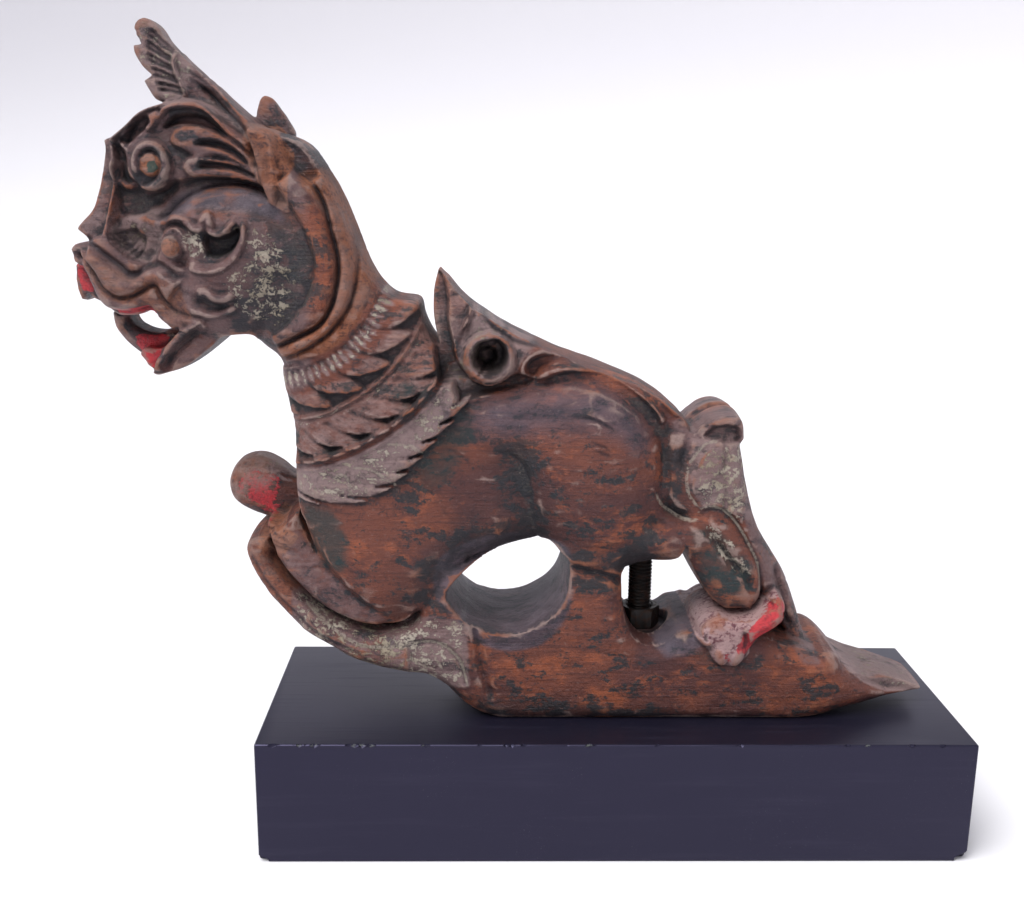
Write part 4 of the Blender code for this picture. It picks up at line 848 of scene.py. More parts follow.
def carve_mane(board):
    """Two thick rolls and a flat border that sweep from the ear round the cheek to the throat."""
    creases = [curve(points) for points in (
        [(-166, 270), (-160, 260), (-154, 250), (-151, 242), (-149, 233), (-151, 223), (-155, 214),
            (-162, 206), (-171, 199)],
        [(-157, 277), (-149, 270), (-144, 261), (-141, 250), (-138, 238), (-137.5, 227), (-140.5, 214),
            (-147, 204), (-158, 198), (-169, 193)],
        [(-146, 277), (-139, 267), (-133, 253), (-130, 240), (-129, 230), (-132, 215), (-141, 202),
            (-153, 193), (-166, 187)],
        [(-137, 270), (-131, 260), (-126, 246), (-121, 230), (-123, 217), (-130, 203), (-141, 193),
            (-152, 187), (-165, 184)],
    )]
    for inner, outer, height in zip(creases, creases[1:], (5.0, 5.5, 2.2)):
        board.band(inner, outer, height)
    board.groove(creases[1], 2.4, 2.0, taper=0.1)
    board.groove(creases[2], 2.0, 1.2, taper=0.1)
    stub = loop([(-178, 294), (-170, 295), (-165.5, 287), (-165, 278), (-163, 275), (-165, 267),
        (-166.5, 260), (-170, 264), (-172.5, 271), (-175, 282)])
    board.mass(stub, 37, 3, soft=0.8, sides=(0,))
    board.press(loop([(-164, 290), (-156, 287), (-146, 275), (-152, 271), (-160, 279)]), 21, soft=4)


def carve_face(board):
    """Nose plate down the middle, the dark hollow beside it and the fan of wrinkles below."""
    hollow = loop([(-244, 288), (-243, 279), (-243, 269), (-244, 261), (-242, 254), (-232, 254), (-225, 258),
        (-220, 263), (-213, 270), (-226, 268), (-236, 272), (-238, 284)])
    board.press(hollow, 16, soft=4)
    slope = loop([(-243, 256), (-246, 248), (-243, 240), (-236, 234), (-229, 232), (-223, 242), (-222, 254),
        (-232, 257)])
    board.press(slope, lambda x, z: 25 - 8 * smooth_step(np.hypot(x + 222, z - 256), 0, 24), soft=6)
    plate = np.array([(-266, 300), (-247, 300), (-244.5, 288), (-244, 269), (-247, 256), (-251, 245),
        (-258, 242), (-276, 240)])
    board.press(plate, 17, soft=2)
    board.groove([(-246, 290), (-244.5, 279), (-244.5, 269), (-246, 259), (-249, 250)], 2.4, -2.2, taper=0.1)
    rim = curve([(-248, 245.5), (-247.5, 242.5), (-245.5, 240), (-243, 237.5), (-239.5, 235.5),
        (-236, 233.5)])
    hub = np.array((-229, 249))
    for share in np.linspace(0.02, 0.98, 7):
        outer = rim[int(share * (len(rim) - 1))]
        inner = hub + 0.25 * (outer - hub)
        middle = (outer + inner) / 2 + (0.9, -0.6)
        board.groove(curve([inner, middle, outer], steps=3), 1.8, 2.8, taper=0.2)


def carve_mouth(board):
    """The two wavy rolls of the upper lip, gum and fang below them, the mouth's slot and the lower lip."""
    roll_top = curve([(-269.5, 240), (-264, 241), (-260, 241), (-256.5, 239.5), (-252.5, 236.5), (-248, 233),
        (-243.5, 229.5), (-240, 226.5), (-237.5, 225.5), (-234.5, 226), (-231.5, 228.5), (-228, 230),
        (-224, 230.5), (-220.5, 229), (-217, 227), (-213.5, 225.5), (-209, 226)])
    crease = curve([(-265, 236), (-261, 234), (-258, 231.5), (-255.5, 228), (-253.5, 224), (-251, 220),
        (-247.5, 217), (-243.5, 215.5), (-240, 216), (-236, 217), (-231.5, 219.5), (-228, 221.5), (-225, 221),
        (-223, 217), (-220, 213), (-215.5, 209.5), (-209, 208), (-202.5, 207)])
    lip_low = curve([(-268, 231), (-262, 226.5), (-259, 221.5), (-256.5, 216.5), (-253, 212), (-249, 209.5),
        (-242.5, 208.5), (-237, 209.5), (-232.5, 211), (-229.5, 211), (-228, 209), (-225.5, 205.5),
        (-221.5, 201), (-217, 199), (-206, 198), (-200, 202)])
    fang = np.array([(-268.5, 231), (-269, 223), (-268.5, 218), (-267, 213), (-265.5, 212), (-263, 215.5),
        (-260, 213)])
    gum_low = curve([(-257, 211.5), (-252, 207.5), (-249, 205.5), (-245, 205), (-239.5, 205.5), (-235, 207.5),
        (-231.5, 207), (-228.5, 203), (-222.5, 199.5)])
    lip = np.concatenate([roll_top, [(-203, 222), (-200, 210), (-200, 202)], lip_low[::-1]])
    board.mass(np.concatenate([fang, gum_low, [(-216, 214), (-240, 222), (-262, 232)]]), 13, 3, soft=1)
    board.cut(loop([(-256, 204), (-247, 204), (-240, 204), (-234, 206), (-231, 206), (-227, 202), (-220, 198),
        (-222, 195), (-228, 190), (-236, 190), (-244, 188), (-256, 190)]))
    board.mass(lip, lambda x, z: 13.5 + 11 * smooth_step(x, -268, -248), 4, soft=1.5)
    below_lip = lip_low[CURVE_STEPS:13 * CURVE_STEPS]
    board.press(np.concatenate([below_lip, gum_low[::-1], fang[::-1]]), 15, soft=1.5)
    board.groove(roll_top + (0.5, 1.5), 3, 2.6, taper=0.15)
    board.band(roll_top[CURVE_STEPS:], crease[:-3 * CURVE_STEPS], 5)
    board.band(crease, lip_low[CURVE_STEPS:], 4)
    board.groove(crease[2 * CURVE_STEPS:], 1.2, 0.5, taper=0.1)
    for tip in ((-265.5, 238.2), (-265, 232.5)):
        board.dome(tip, (5, 3.2), 20, tilt=-20, base=14, soft=1)
    lip_in = curve([(-216, 201), (-219, 198.5), (-223, 194), (-225, 190), (-228, 186), (-230, 180)])
    lip_out = curve([(-201.5, 206.5), (-204, 203), (-209.5, 198), (-214, 194), (-219, 189), (-222.5, 184),
        (-225, 179.5)])
    board.press(np.concatenate([lip_in, [(-236, 176), (-245, 188), (-230, 195)]]), 15, soft=1.5)
    board.band(lip_in, lip_out, 4.5)
    board.groove(lip_out, 4, 2.6, taper=0.2)
    board.roll([(-206, 219), (-200, 220), (-195, 217), (-190, 217), (-184, 220)], (2.8, 2.2), 3.4, taper=0.2)
    board.groove([(-209, 216), (-203, 214.5), (-196, 213), (-188, 214)], 5, 2.4, taper=0.3)
    board.roll([(-212, 211), (-204, 209.5), (-198, 208.5), (-191, 210), (-183, 214)], (2.2, 1.8), 2.4,
        taper=0.2)
    board.dome((-211, 226), (6, 3.2), 32, tilt=-25, base=27, soft=1)


def carve_eye(board):
    """The bulging eye between its lids, which sweep back to a point round a deep hollow."""
    board.sink(loop([(-222, 246), (-218, 251), (-210, 253), (-200, 252), (-190, 248), (-183, 252),
        (-181, 248), (-182, 240), (-188, 233), (-200, 230), (-212, 232), (-220, 238)]), 2.4, soft=3)
    hollow = loop([(-199.5, 246), (-194, 245), (-187, 247), (-184, 250), (-183, 245.5), (-186.5, 240),
        (-193, 236.5), (-198.5, 237.5)])
    board.press(hollow, 28, soft=2)
    board.dome((-215, 240.5), (5.4, 6.0), 40, base=31, soft=0.6)
    upper = curve([(-222, 248), (-219, 252), (-214, 254), (-209, 252.5), (-205, 249.5), (-201.5, 249),
        (-199.5, 253), (-197.5, 256), (-196.5, 252), (-196, 248), (-191.5, 246.5), (-187, 249),
        (-182.5, 254)])
    lower = curve([(-182.5, 254), (-181, 249.5), (-182, 243), (-186, 236), (-192, 231.5), (-199, 230.5),
        (-204, 231.5), (-209, 235)])
    board.roll(upper, (2.2, 2.4), 4.2, taper=0.08)
    board.roll(lower, (1.8, 3.0), 4.2, taper=0.12)
    board.roll([(-222, 241), (-219.5, 246), (-215.5, 248.5), (-211.5, 247), (-209, 242), (-208, 236)],
        (1.5, 1.5), 3.0, taper=0.15)


def carve_brow(board):
    """The brow bands, the two hollowed locks behind them and the spiral curl at the temple."""
    top = curve([(-247, 291), (-240, 297), (-232, 303), (-225, 307), (-218, 308)])
    under = curve([(-243, 287), (-238, 293), (-231, 298), (-225, 302), (-219, 303)])
    board.band(top, under, 6)
    board.band([(-219, 304), (-214, 307), (-207, 308), (-201, 307), (-195, 303), (-189, 298), (-184, 294),
        (-177, 289)], [(-221, 295), (-218, 299), (-214, 302), (-207, 303), (-200, 302), (-194, 297),
        (-188, 291), (-178, 284)], 6)
    board.press(loop([(-240, 289), (-234, 295), (-227, 300), (-224, 297), (-229, 293), (-235, 288)]), 19,
        soft=2)
    board.band([(-228, 295), (-225, 301), (-220, 304)], [(-225, 292), (-221, 295), (-218, 299)], 4)
    board.press(loop([(-218, 295), (-213, 300), (-205, 301), (-198, 299), (-190, 292), (-182, 285),
        (-190, 291), (-200, 296), (-210, 297)]), 18, soft=2)
    locks = (
        (
            ((-215, 290), (-212, 294), (-204, 295.5), (-197, 294), (-189, 291), (-182, 286), (-176, 281)),
            ((-215, 290), (-214, 287), (-208, 284), (-202, 282), (-194, 282), (-186, 280), (-175, 275)),
            ((-201, 289), (-194, 289), (-186, 286), (-179, 280)),
            ((-203, 287.5), (-194, 286), (-187, 283.5), (-179, 278)),
        ), (
            ((-210, 277), (-207, 280.5), (-203, 282), (-195, 281), (-186, 279), (-175, 274)),
            ((-210, 277), (-207, 273), (-200, 272), (-190, 272), (-182, 271), (-173, 269)),
            ((-201, 279.5), (-192, 279), (-184, 277.5), (-176, 273.5)),
            ((-202, 277), (-193, 276.5), (-185, 275.5), (-176, 272)),
        ),
    )
    for lock in locks:
        above, below, hollow_top, hollow_low = (curve(line) for line in lock)
        board.mass(between(above, below), 29, 3, soft=0.8)
        board.groove(above, 2.4, -1.6, taper=0.1)
        board.sink(between(hollow_top, hollow_low), 4.5, soft=1.5)
    board.dome((-224.5, 277.5), (10.5, 12), 27, base=24, soft=1)
    ring = curve([(-229.5, 272.5), (-231.5, 277), (-231, 281.5), (-228.5, 285.5), (-223.8, 287.2),
        (-219.5, 285), (-217.4, 280.5), (-217.3, 275.5), (-219.5, 271), (-223, 268.2), (-227, 266.4),
        (-232, 265.6)])
    board.roll(ring, (2.2, 2.9), 4.6, taper=0.08)
    board.dome((-224.5, 278.5), (4.8, 5.2), 30.5, base=28.5, soft=0.5)
    board.roll([(-243, 281), (-242, 273), (-238, 268), (-233, 269)], (3.2, 1.6), 5, taper=0.2)
    for x in (-240, -235.5):
        board.groove([(x + 4, 297), (x, 291), (x - 1, 285)], 2.6, 2.5)


def carve_crest(board):
    """The leafy plume on the head and the ridged stem that carries it back to the ear."""
    plume = np.concatenate([curve([(-221, 306.5), (-226, 308.5), (-229, 313), (-231, 317)]),
        curve([(-227, 319.5), (-231, 323), (-234.5, 329), (-235, 333)]), curve([(-231, 333.5), (-233, 337),
        (-234, 341), (-232.5, 344), (-229, 345.5), (-225, 343.5), (-222, 340), (-220, 336.5), (-215, 331)]),
        curve([(-214, 330.5), (-209, 325.5), (-203, 320), (-197, 315), (-191, 309), (-185, 303.5),
        (-179, 299), (-172, 291)]), [(-190, 290)]])
    board.mass(plume, lambda x, z: 9 + 16 * smooth_step(x, -200, -176), 3, soft=1.5)
    midrib = curve([(-214, 330), (-216, 326), (-215.5, 321), (-213, 315), (-211, 309)])
    board.groove(midrib, 2.2, -2.4, taper=0.05)
    for share in np.linspace(0.02, 0.95, 10):
        start = midrib[int(share * (len(midrib) - 1))]
        rib = np.array([start, start + (-6, 4.2 - 3.0 * share), start + (-12.5, 10.5 - 9.0 * share)])
        board.groove(rib, 1.7, 3.0, taper=0.15)
    board.groove([(-206, 312.5), (-203, 313), (-198, 309), (-192, 302.5), (-184, 295.5), (-178, 291)], 3.4, 4,
        taper=0.12)
    for shift in (0, 4):
        furrow = curve([(-210 + shift * 0.4, 322 - shift), (-202, 316.5 - shift * 0.8),
            (-192, 307 - shift * 0.8), (-181, 298 - shift * 0.6)])
        board.groove(furrow, 2.0, 2.0)


def carried_outwards(edge, half, cells=4):
    """The thickness of one side, carried on past the outline so that its slope is true right up to it."""
    known = edge > 0
    half = np.where(known, half, 0)
    for _ in range(cells):
        total = np.zeros_like(half)
        count = np.zeros_like(half)
        for axis, way in ((0, 1), (0, -1), (1, 1), (1, -1)):
            total += np.roll(half * known, way, axis)
            count += np.roll(known, way, axis)
        fresh = ~known & (count > 0)
        half[fresh] = total[fresh] / count[fresh]
        known |= fresh
    return half


def add_slab(field, board, y, outline, middle, half, rounding, soft=2.0):
    """Joins to the field a piece of wood that stands away from the middle plane."""
    box, depth = board.inside(outline, margin=10)
    across = rounding - depth[:, None, :]
    deep = np.abs(y[None, :, None] - middle) - (half - rounding)
    slab = np.minimum(np.maximum(across, deep), 0) - rounding
    slab += np.hypot(np.maximum(across, 0), np.maximum(deep, 0))
    field[box[0], :, box[1]] = -smooth_max(-field[box[0], :, box[1]], -slab, soft)


def softened(values):
    """The values averaged with their neighbours, as a scraper leaves the wood."""
    for axis in (0, 1):
        values = 0.5 * values + 0.25 * (np.roll(values, 1, axis) + np.roll(values, -1, axis))
    return values


def carved_field(board):
    """Distance outside the figure's surface over a grid of drawn millimetres, and the grid's first corner."""
    step = board.step
    reach = board.half.max() + 4 * step
    y = np.arange(-reach, reach, step, dtype=np.float32)
    brow = smooth_step(-board.x, 205, 250) * smooth_step(board.z, 190, 215)
    nose = smooth_step(-board.x, 236, 246) * smooth_step(board.z, 243, 252)
    nose *= smooth_step(-board.z, -292, -284)
    tail_top = smooth_step(board.x, 28, 34) * smooth_step(-board.x, -66, -58) * smooth_step(board.z, 150, 156)
    across = y[None, :, None]
    crown = (CROWN + BROW_CROWN * brow)[:, None, :] * (across / CROWN_AT)**2
    bead = NOSE_BEAD * nose[:, None, :] * np.exp(-((np.abs(across) - NOSE_BEAD_AT) / NOSE_BEAD_WIDTH)**2)
    dip = np.maximum(1 - np.abs(across - TAIL_VALLEY_AT) / TAIL_VALLEY_WIDTH, 0)
    field = crown + bead + TAIL_VALLEY * tail_top[:, None, :] * dip - board.edge[:, None, :]
    for side, facing in ((0, y < 0), (1, y >= 0)):
        half = softened(carried_outwards(board.edge, board.half[side]))
        slope_x, slope_z = np.gradient(half, step)
        steepness = np.sqrt(1 + slope_x**2 + slope_z**2)
        above = (np.abs(y[facing])[None, :, None] - half[:, None, :]) / steepness[:, None, :]
        field[:, facing, :] = np.maximum(field[:, facing, :], above)
    far_paw = loop([(-158, 120), (-168, 119), (-176, 125), (-184, 129), (-192, 129), (-199, 125), (-203, 116),
        (-202, 108), (-198, 103), (-191, 99), (-183, 96), (-174, 92), (-158, 96)])
    add_slab(field, board, y, far_paw, 16, 12, 8)
    far_ear = loop([(-182, 300), (-181.5, 308), (-179, 312), (-175, 311), (-171, 306), (-167.5, 301),
        (-164, 293), (-172, 288)])
    add_slab(field, board, y, far_ear, 20, 7, 5)
    tongue = np.concatenate([curve([(-255, 206), (-254, 199), (-251, 194), (-247, 189.5), (-240, 184),
        (-232, 180)]), curve([(-220, 188), (-222, 196), (-227, 197.5), (-231, 196), (-237, 196.5),
        (-242, 198.5), (-245, 201), (-247, 206)])])
    add_slab(field, board, y, tongue, 6, 11, 5)
    return field, (board.low[0], float(y[0]), board.low[1])


def surface_of(field, corner, step):
    """Vertices and faces of the field's surface, in drawn millimetres."""
    grid = openvdb.FloatGrid(background=FAR)
    grid.copyFromArray(np.ascontiguousarray(field))
    points, triangles, quads = grid.convertToPolygons(isovalue=0.0, adaptivity=0.0)
    return points * step + np.array(corner), triangles.tolist() + quads.tolist()


# The tints of the paint, among them a painted shade for recesses and undersides, which also holds one dark
# patch by the broken ear, and a grey that on the back and the cheek is a painted sheen; how finely the figure
# is carved for the render in drawn millimetres, how many triangles it keeps, how deep the marks of the hand
# and the broken wood go, and, in metres, where the finish sees ridges, hollows and valleys
TINTS = ("mauve", "pale", "cream", "line", "red", "pink", "raw", "grey_paint_and_sheen", "painted_shade_and_dark_patch", "verdigris", "cut")
FINE_STEP = 0.66
LION_TRIANGLES = 196000
HAND_MARKS = 0.28
HAND_WAVES = ((9, 3), (4, 5), (6, 8))
NARROW_CUT = 3.2
ROUGH_BREAK = 0.8
ROUGH_GRAIN = (12, 2.2)
PLEATS = 110
COVERED = 0.5
NEAR_ROUNDS = 6
WIDE_ROUNDS = 60
RIDGE = (0.00014, 0.0002)
HOLLOW = (0.00012, 0.00024)
VALLEY = (0.0002, 0.0012)


class PaintedBoard(Board):
    """The board with the carving's paint and painted shade on it: for each tint, how much of it is left at
    each place.
    """

    def __init__(self, step):
        super().__init__(step)
        self.tints = {tint: np.zeros(self.x.shape, np.float32) for tint in TINTS}

    def lay(self, tint, layer, box=...):
        """Adds to a tint where there is less of it."""
        self.tints[tint][box] = np.maximum(self.tints[tint][box], layer)

    def paint(self, tint, outline, left, soft):
        """Lays a tint inside an outline; left is the share that has not worn away."""
        box, depth = self.inside(outline)
        self.lay(tint, left * smooth_step(depth, -soft / 2, soft / 2), box)

    def brush(self, tint, path, width, left=1.0):
        """Lays a tint along a path."""
        box, distance, _ = self.along(path_of(path), width * 2)
        self.lay(tint, left * smooth_step(-distance, -width * 0.75, -width * 0.3), box)

    def groove(self, path, width, depth, taper=0.15):
        """A narrow furrow also gets a dark line painted along it, painted shade for the shadow in the cut."""
        super().groove(path, width, depth, taper)
        if depth > 0 and width < NARROW_CUT:
            self.brush("cut", path, max(0.8 * width, 1.3), min(depth / 2, 1))

    def reshape(self, side, box, half):
        """Clears the painted shade lines of the cuts where new wood is laid or the old is carved away."""
        was = self.half[side][box].copy()
        super().reshape(side, box, half)
        if side == 0:
            self.tints["cut"][box][np.abs(self.half[side][box] - was) > COVERED] = 0


# The engraved lines, and the drying cracks with their depths
ENGRAVED = (
    ((-142, 130), (-137, 132), (-134, 128), (-133, 121)),
    ((-132, 135), (-126, 135), (-119, 132), (-114, 128), (-111, 125)),
    ((-115, 147), (-109, 147), (-103, 146), (-98, 142)),
    ((-157, 60), (-148, 52), (-135, 43), (-126, 40), (-114, 40)),
    ((-114, 40), (-105, 42), (-95, 43), (-87, 40), (-80, 33), (-77, 24), (-76, 19)),
    ((-107, 34), (-99, 30), (-92, 27)),
    ((-93, 35), (-89, 28)),
    ((47, 147.5), (42, 146.5), (38, 142), (34.7, 137), (33.4, 131), (33.7, 124.5), (35.6, 119), (39.6, 114)),
    ((39.7, 111), (42, 113.5), (47, 114.5), (51, 113), (56.7, 108.6), (62, 102), (67.2, 93), (71, 86),
        (73, 79), (73.2, 70)),
    ((18, 122), (20, 116.5), (25, 111.5), (32, 107.5), (39.5, 107.5)),
)
CRACKS = (
    (((-24, 161), (-19, 160.5), (-13, 159), (-7, 156), (-4, 154)), 2.2),
    (((-16, 149), (-11, 147), (-6, 145)), 1.6),
    (((-13, 145), (-9, 143), (-6, 142)), 1.2),
    (((-89, 144), (-84, 143), (-79, 140), (-75, 137)), 0.8),
    (((-8, 37), (2, 35), (18, 34), (26, 33)), 0.9),
    (((-69, 17), (-49, 15), (-28, 14)), 0.8),
    (((-139, 252), (-136, 240), (-139, 228), (-142, 222)), 0.7),
    (((46.7, 98), (52, 93.5), (57, 87.5), (61, 83.5), (65, 80)), 1.6),
    (((60, 32), (84, 28), (104, 29)), 0.7),
    (((-150, 98), (-146, 84), (-136, 72)), 0.6),
)


def scratch(board, points, width=1.1, depth=1.2):
    """A drying crack or a slip of the knife."""
    board.groove(points, width, depth, taper=0.3)


def carve_fine(board):
    """Marks too small for the plain model: engraved lines, drying cracks and the marks of the gouge."""
    board.groove([(-34, 52), (-29, 64), (-28, 78), (-30, 88)], 1.2, 0.5, taper=0.05)
    for points in ENGRAVED:
        board.groove(points, 1.3, 0.35, taper=0.05)
        board.brush("line", points, 1.2)
    scratch(board, ((-72, 143), (-63, 142), (-54, 140), (-48, 135), (-45, 127), (-43, 112)), 1.4, 0.9)
    for points, depth in CRACKS:
        scratch(board, points, depth=depth)
    for i in range(6):
        scratch(board, ((118 + 3 * i, 33 - 3 * i), (134 + 3 * i, 25 - 2.6 * i), (152 + 3 * i, 18 - 1.7 * i)),
            1.5, 0.9)
    for x, z in ((-180, 99), (-180, 96), (-178, 93)):
        scratch(board, ((x, z), (x + 8, z - 1), (x + 16, z - 4)), 1.6, 1.1)
    for i in range(7):
        scratch(board, ((-177 + 1.4 * i, 293 - 0.8 * i), (-175.5 + 1.2 * i, 284), (-173 + 0.8 * i, 270)), 1.2,
            0.7)
    shape, step = board.x.shape, board.step
    wide, narrow, rim = (unevenness(shape, [size / step] * 2, seed) for size, seed in HAND_WAVES)
    board.half += HAND_MARKS * (wide + 0.6 * narrow)
    board.edge += 0.5 * HAND_MARKS * rim


def mixed(layer, i, j, a, b):
    """A layer read off between its grid points: a and b are the shares of the way to the next ones."""
    first = layer[i, j] * (1 - b) + layer[i, j + 1] * b
    second = layer[i + 1, j] * (1 - b) + layer[i + 1, j + 1] * b
    return first * (1 - a) + second * a


def unevenness(shape, cells, seed):
    """Smooth random waves between -1 and 1; cells are their lengths along and up the board."""
    count = [int(size / length) + 3 for size, length in zip(shape, cells)]
    knots = np.random.default_rng(seed).uniform(-1, 1, count)
    u, v = (np.arange(size) / length for size, length in zip(shape, cells))
    i, j = u.astype(int)[:, None], v.astype(int)[None, :]
    return mixed(knots, i, j, smooth_step(u[:, None] - i, 0, 1),
        smooth_step(v[None, :] - j, 0, 1)).astype(np.float32)


# The paint that is left, with the painted shade and highlights: for each spot its tint, the share that is
# left, how softly it ends and its outline, drawn with straight sides in the first table, with round ones in
# the second and as an arc in the third
PAINTED_HEAD = [(-280, 245), (-262, 300), (-245, 350), (-215, 350), (-170, 312), (-140, 285), (-118, 240),
    (-96, 220), (-90, 205), (-100, 150), (-130, 112), (-168, 112), (-170, 180), (-240, 180), (-280, 200)]
FAN = [(-228, 251), (-238, 252), (-246, 246), (-242, 238), (-235, 235), (-229, 241)]
ANGULAR_SPOTS = (
    ("mauve", 0.55, 8, [(-178, 100), (-160, 104), (-146, 82), (-126, 62), (-110, 52), (-130, 48), (-150, 58),
        (-172, 80)]),
    ("mauve", 1.0, 8, [(-250, 290), (-258, 258), (-226, 257), (-211, 267), (-185, 269), (-164, 259),
        (-150, 240), (-165, 236), (-200, 246), (-222, 236), (-262, 240)]),
    ("mauve", 0.8, 8, [(-166, 70), (-150, 62), (-118, 48), (-94, 58), (-76, 56), (-74, 18), (-98, 14),
        (-130, 24), (-166, 44)]),
    ("mauve", 0.7, 10, [(24, 158), (66, 166), (72, 110), (92, 78), (110, 28), (96, 30), (72, 78), (62, 108),
        (42, 112), (26, 130)]),
    ("pale", 0.95, 8, [(-238, 350), (-222, 350), (-206, 322), (-212, 308), (-236, 304)]),
    ("pale", 0.6, 5, [(-276, 240), (-266, 300), (-250, 296), (-246, 270), (-252, 246)]),
    ("pale", 0.75, 8, [(-93, 232), (-84, 228), (-58, 204), (-40, 196), (-54, 178), (-78, 180), (-88, 200)]),
    ("pale", 0.6, 6, [(34, 150), (58, 152), (64, 128), (70, 104), (60, 108), (40, 112), (33, 130)]),
    ("pale", 0.6, 8, [(-120, 48), (-94, 50), (-74, 60), (-74, 16), (-98, 14), (-120, 26)]),
    ("pale", 1.0, 3, [(112, 41), (118, 29), (131, 17.5), (147, 10), (172, 8), (172, 20), (140, 44)]),
    ("pale", 0.42, 5, [(-270, 242), (-246, 234), (-232, 230), (-212, 232), (-198, 214), (-204, 196),
        (-226, 178), (-236, 180), (-216, 204), (-230, 214), (-254, 212), (-268, 230)]),
    ("pale", 0.4, 6, [(-178, 98), (-166, 100), (-156, 80), (-142, 62), (-150, 58), (-172, 80)]),
    ("cream", 0.56, 8, [(-238, 350), (-222, 350), (-204, 322), (-210, 308), (-236, 304)]),
    ("cream", 0.76, 3, [(-211, 247), (-207, 249), (-202, 247), (-199, 240), (-199, 235), (-206, 235),
        (-210, 239)]),
    ("cream", 0.66, 8, [(-166, 70), (-150, 62), (-118, 48), (-94, 58), (-76, 56), (-74, 18), (-98, 14),
        (-130, 24), (-166, 44)]),
    ("cream", 0.6, 2, [(-227, 196), (-221, 199), (-222, 192), (-226, 190)]),
    ("cream", 0.55, 3, [(114, 42), (132, 19), (147, 12), (172, 9), (172, 20), (140, 44)]),
    # Painted shade: inside the mouth under the upper lip, along the bottom of the log over the block, and in
    # the recess above the cheek under the brow.
    ("painted_shade_and_dark_patch", 0.8, 3, [(-262, 224), (-252, 213), (-246, 211), (-246, 204), (-254, 205), (-262, 212)]),
    ("painted_shade_and_dark_patch", 0.8, 8, [(-72, 12), (60, 2), (120, -2), (120, -8), (-72, -8)]),
    ("painted_shade_and_dark_patch", 0.3, 8, [(-236, 298), (-214, 300), (-186, 290), (-176, 281), (-176, 270), (-212, 268),
        (-240, 262), (-246, 285)]),
    ("raw", 0.5, 4, [(-264, 239), (-252, 236), (-238, 226), (-226, 229), (-212, 224), (-206, 204),
        (-216, 200), (-226, 208), (-240, 211), (-252, 215), (-262, 230)]),
    ("raw", 1.0, 4, [(-182, 298), (-170, 297), (-158, 284), (-160, 256), (-170, 262), (-180, 280)]),
    ("raw", 0.9, 5, [(-182, 103), (-168, 104), (-160, 98), (-168, 88), (-182, 90)]),
    ("raw", 0.2, 3, [(112, 42), (118, 30), (131, 18), (147, 11), (172, 8), (172, 20), (140, 44)]),
    ("raw", 0.45, 8, [(-190, 96), (-182, 97), (-168, 84), (-160, 70), (-170, 50), (-194, 80)]),
    ("red", 1.0, 2.5, [(-267, 231), (-262, 230), (-259.5, 223), (-260, 217), (-265, 218), (-267, 224)]),
    ("red", 1.0, 2, [(-250, 211), (-242, 210.5), (-236, 211), (-230, 212), (-227, 207), (-221, 199),
        (-230, 203), (-236, 205), (-243, 203.5), (-248, 206)]),
    ("red", 0.95, 2.5, [(-241, 195.5), (-235, 194.5), (-226, 195.5), (-228, 188), (-230, 180), (-236, 180),
        (-240, 185), (-243, 191)]),
    ("red", 1.0, 3, [(61, 40), (64, 48), (69, 55.5), (77, 62), (82, 67.5), (87, 64), (86.5, 56), (80, 49),
        (72, 44), (67, 38)]),
    ("pink", 0.4, 5, [(-113, 125), (-103, 130), (-110, 124), (-130, 115), (-134, 118)]),
    ("grey_paint_and_sheen", 0.8, 8, [(22, 68), (48, 68), (52, 50), (42, 36), (26, 34), (16, 44)]),
)
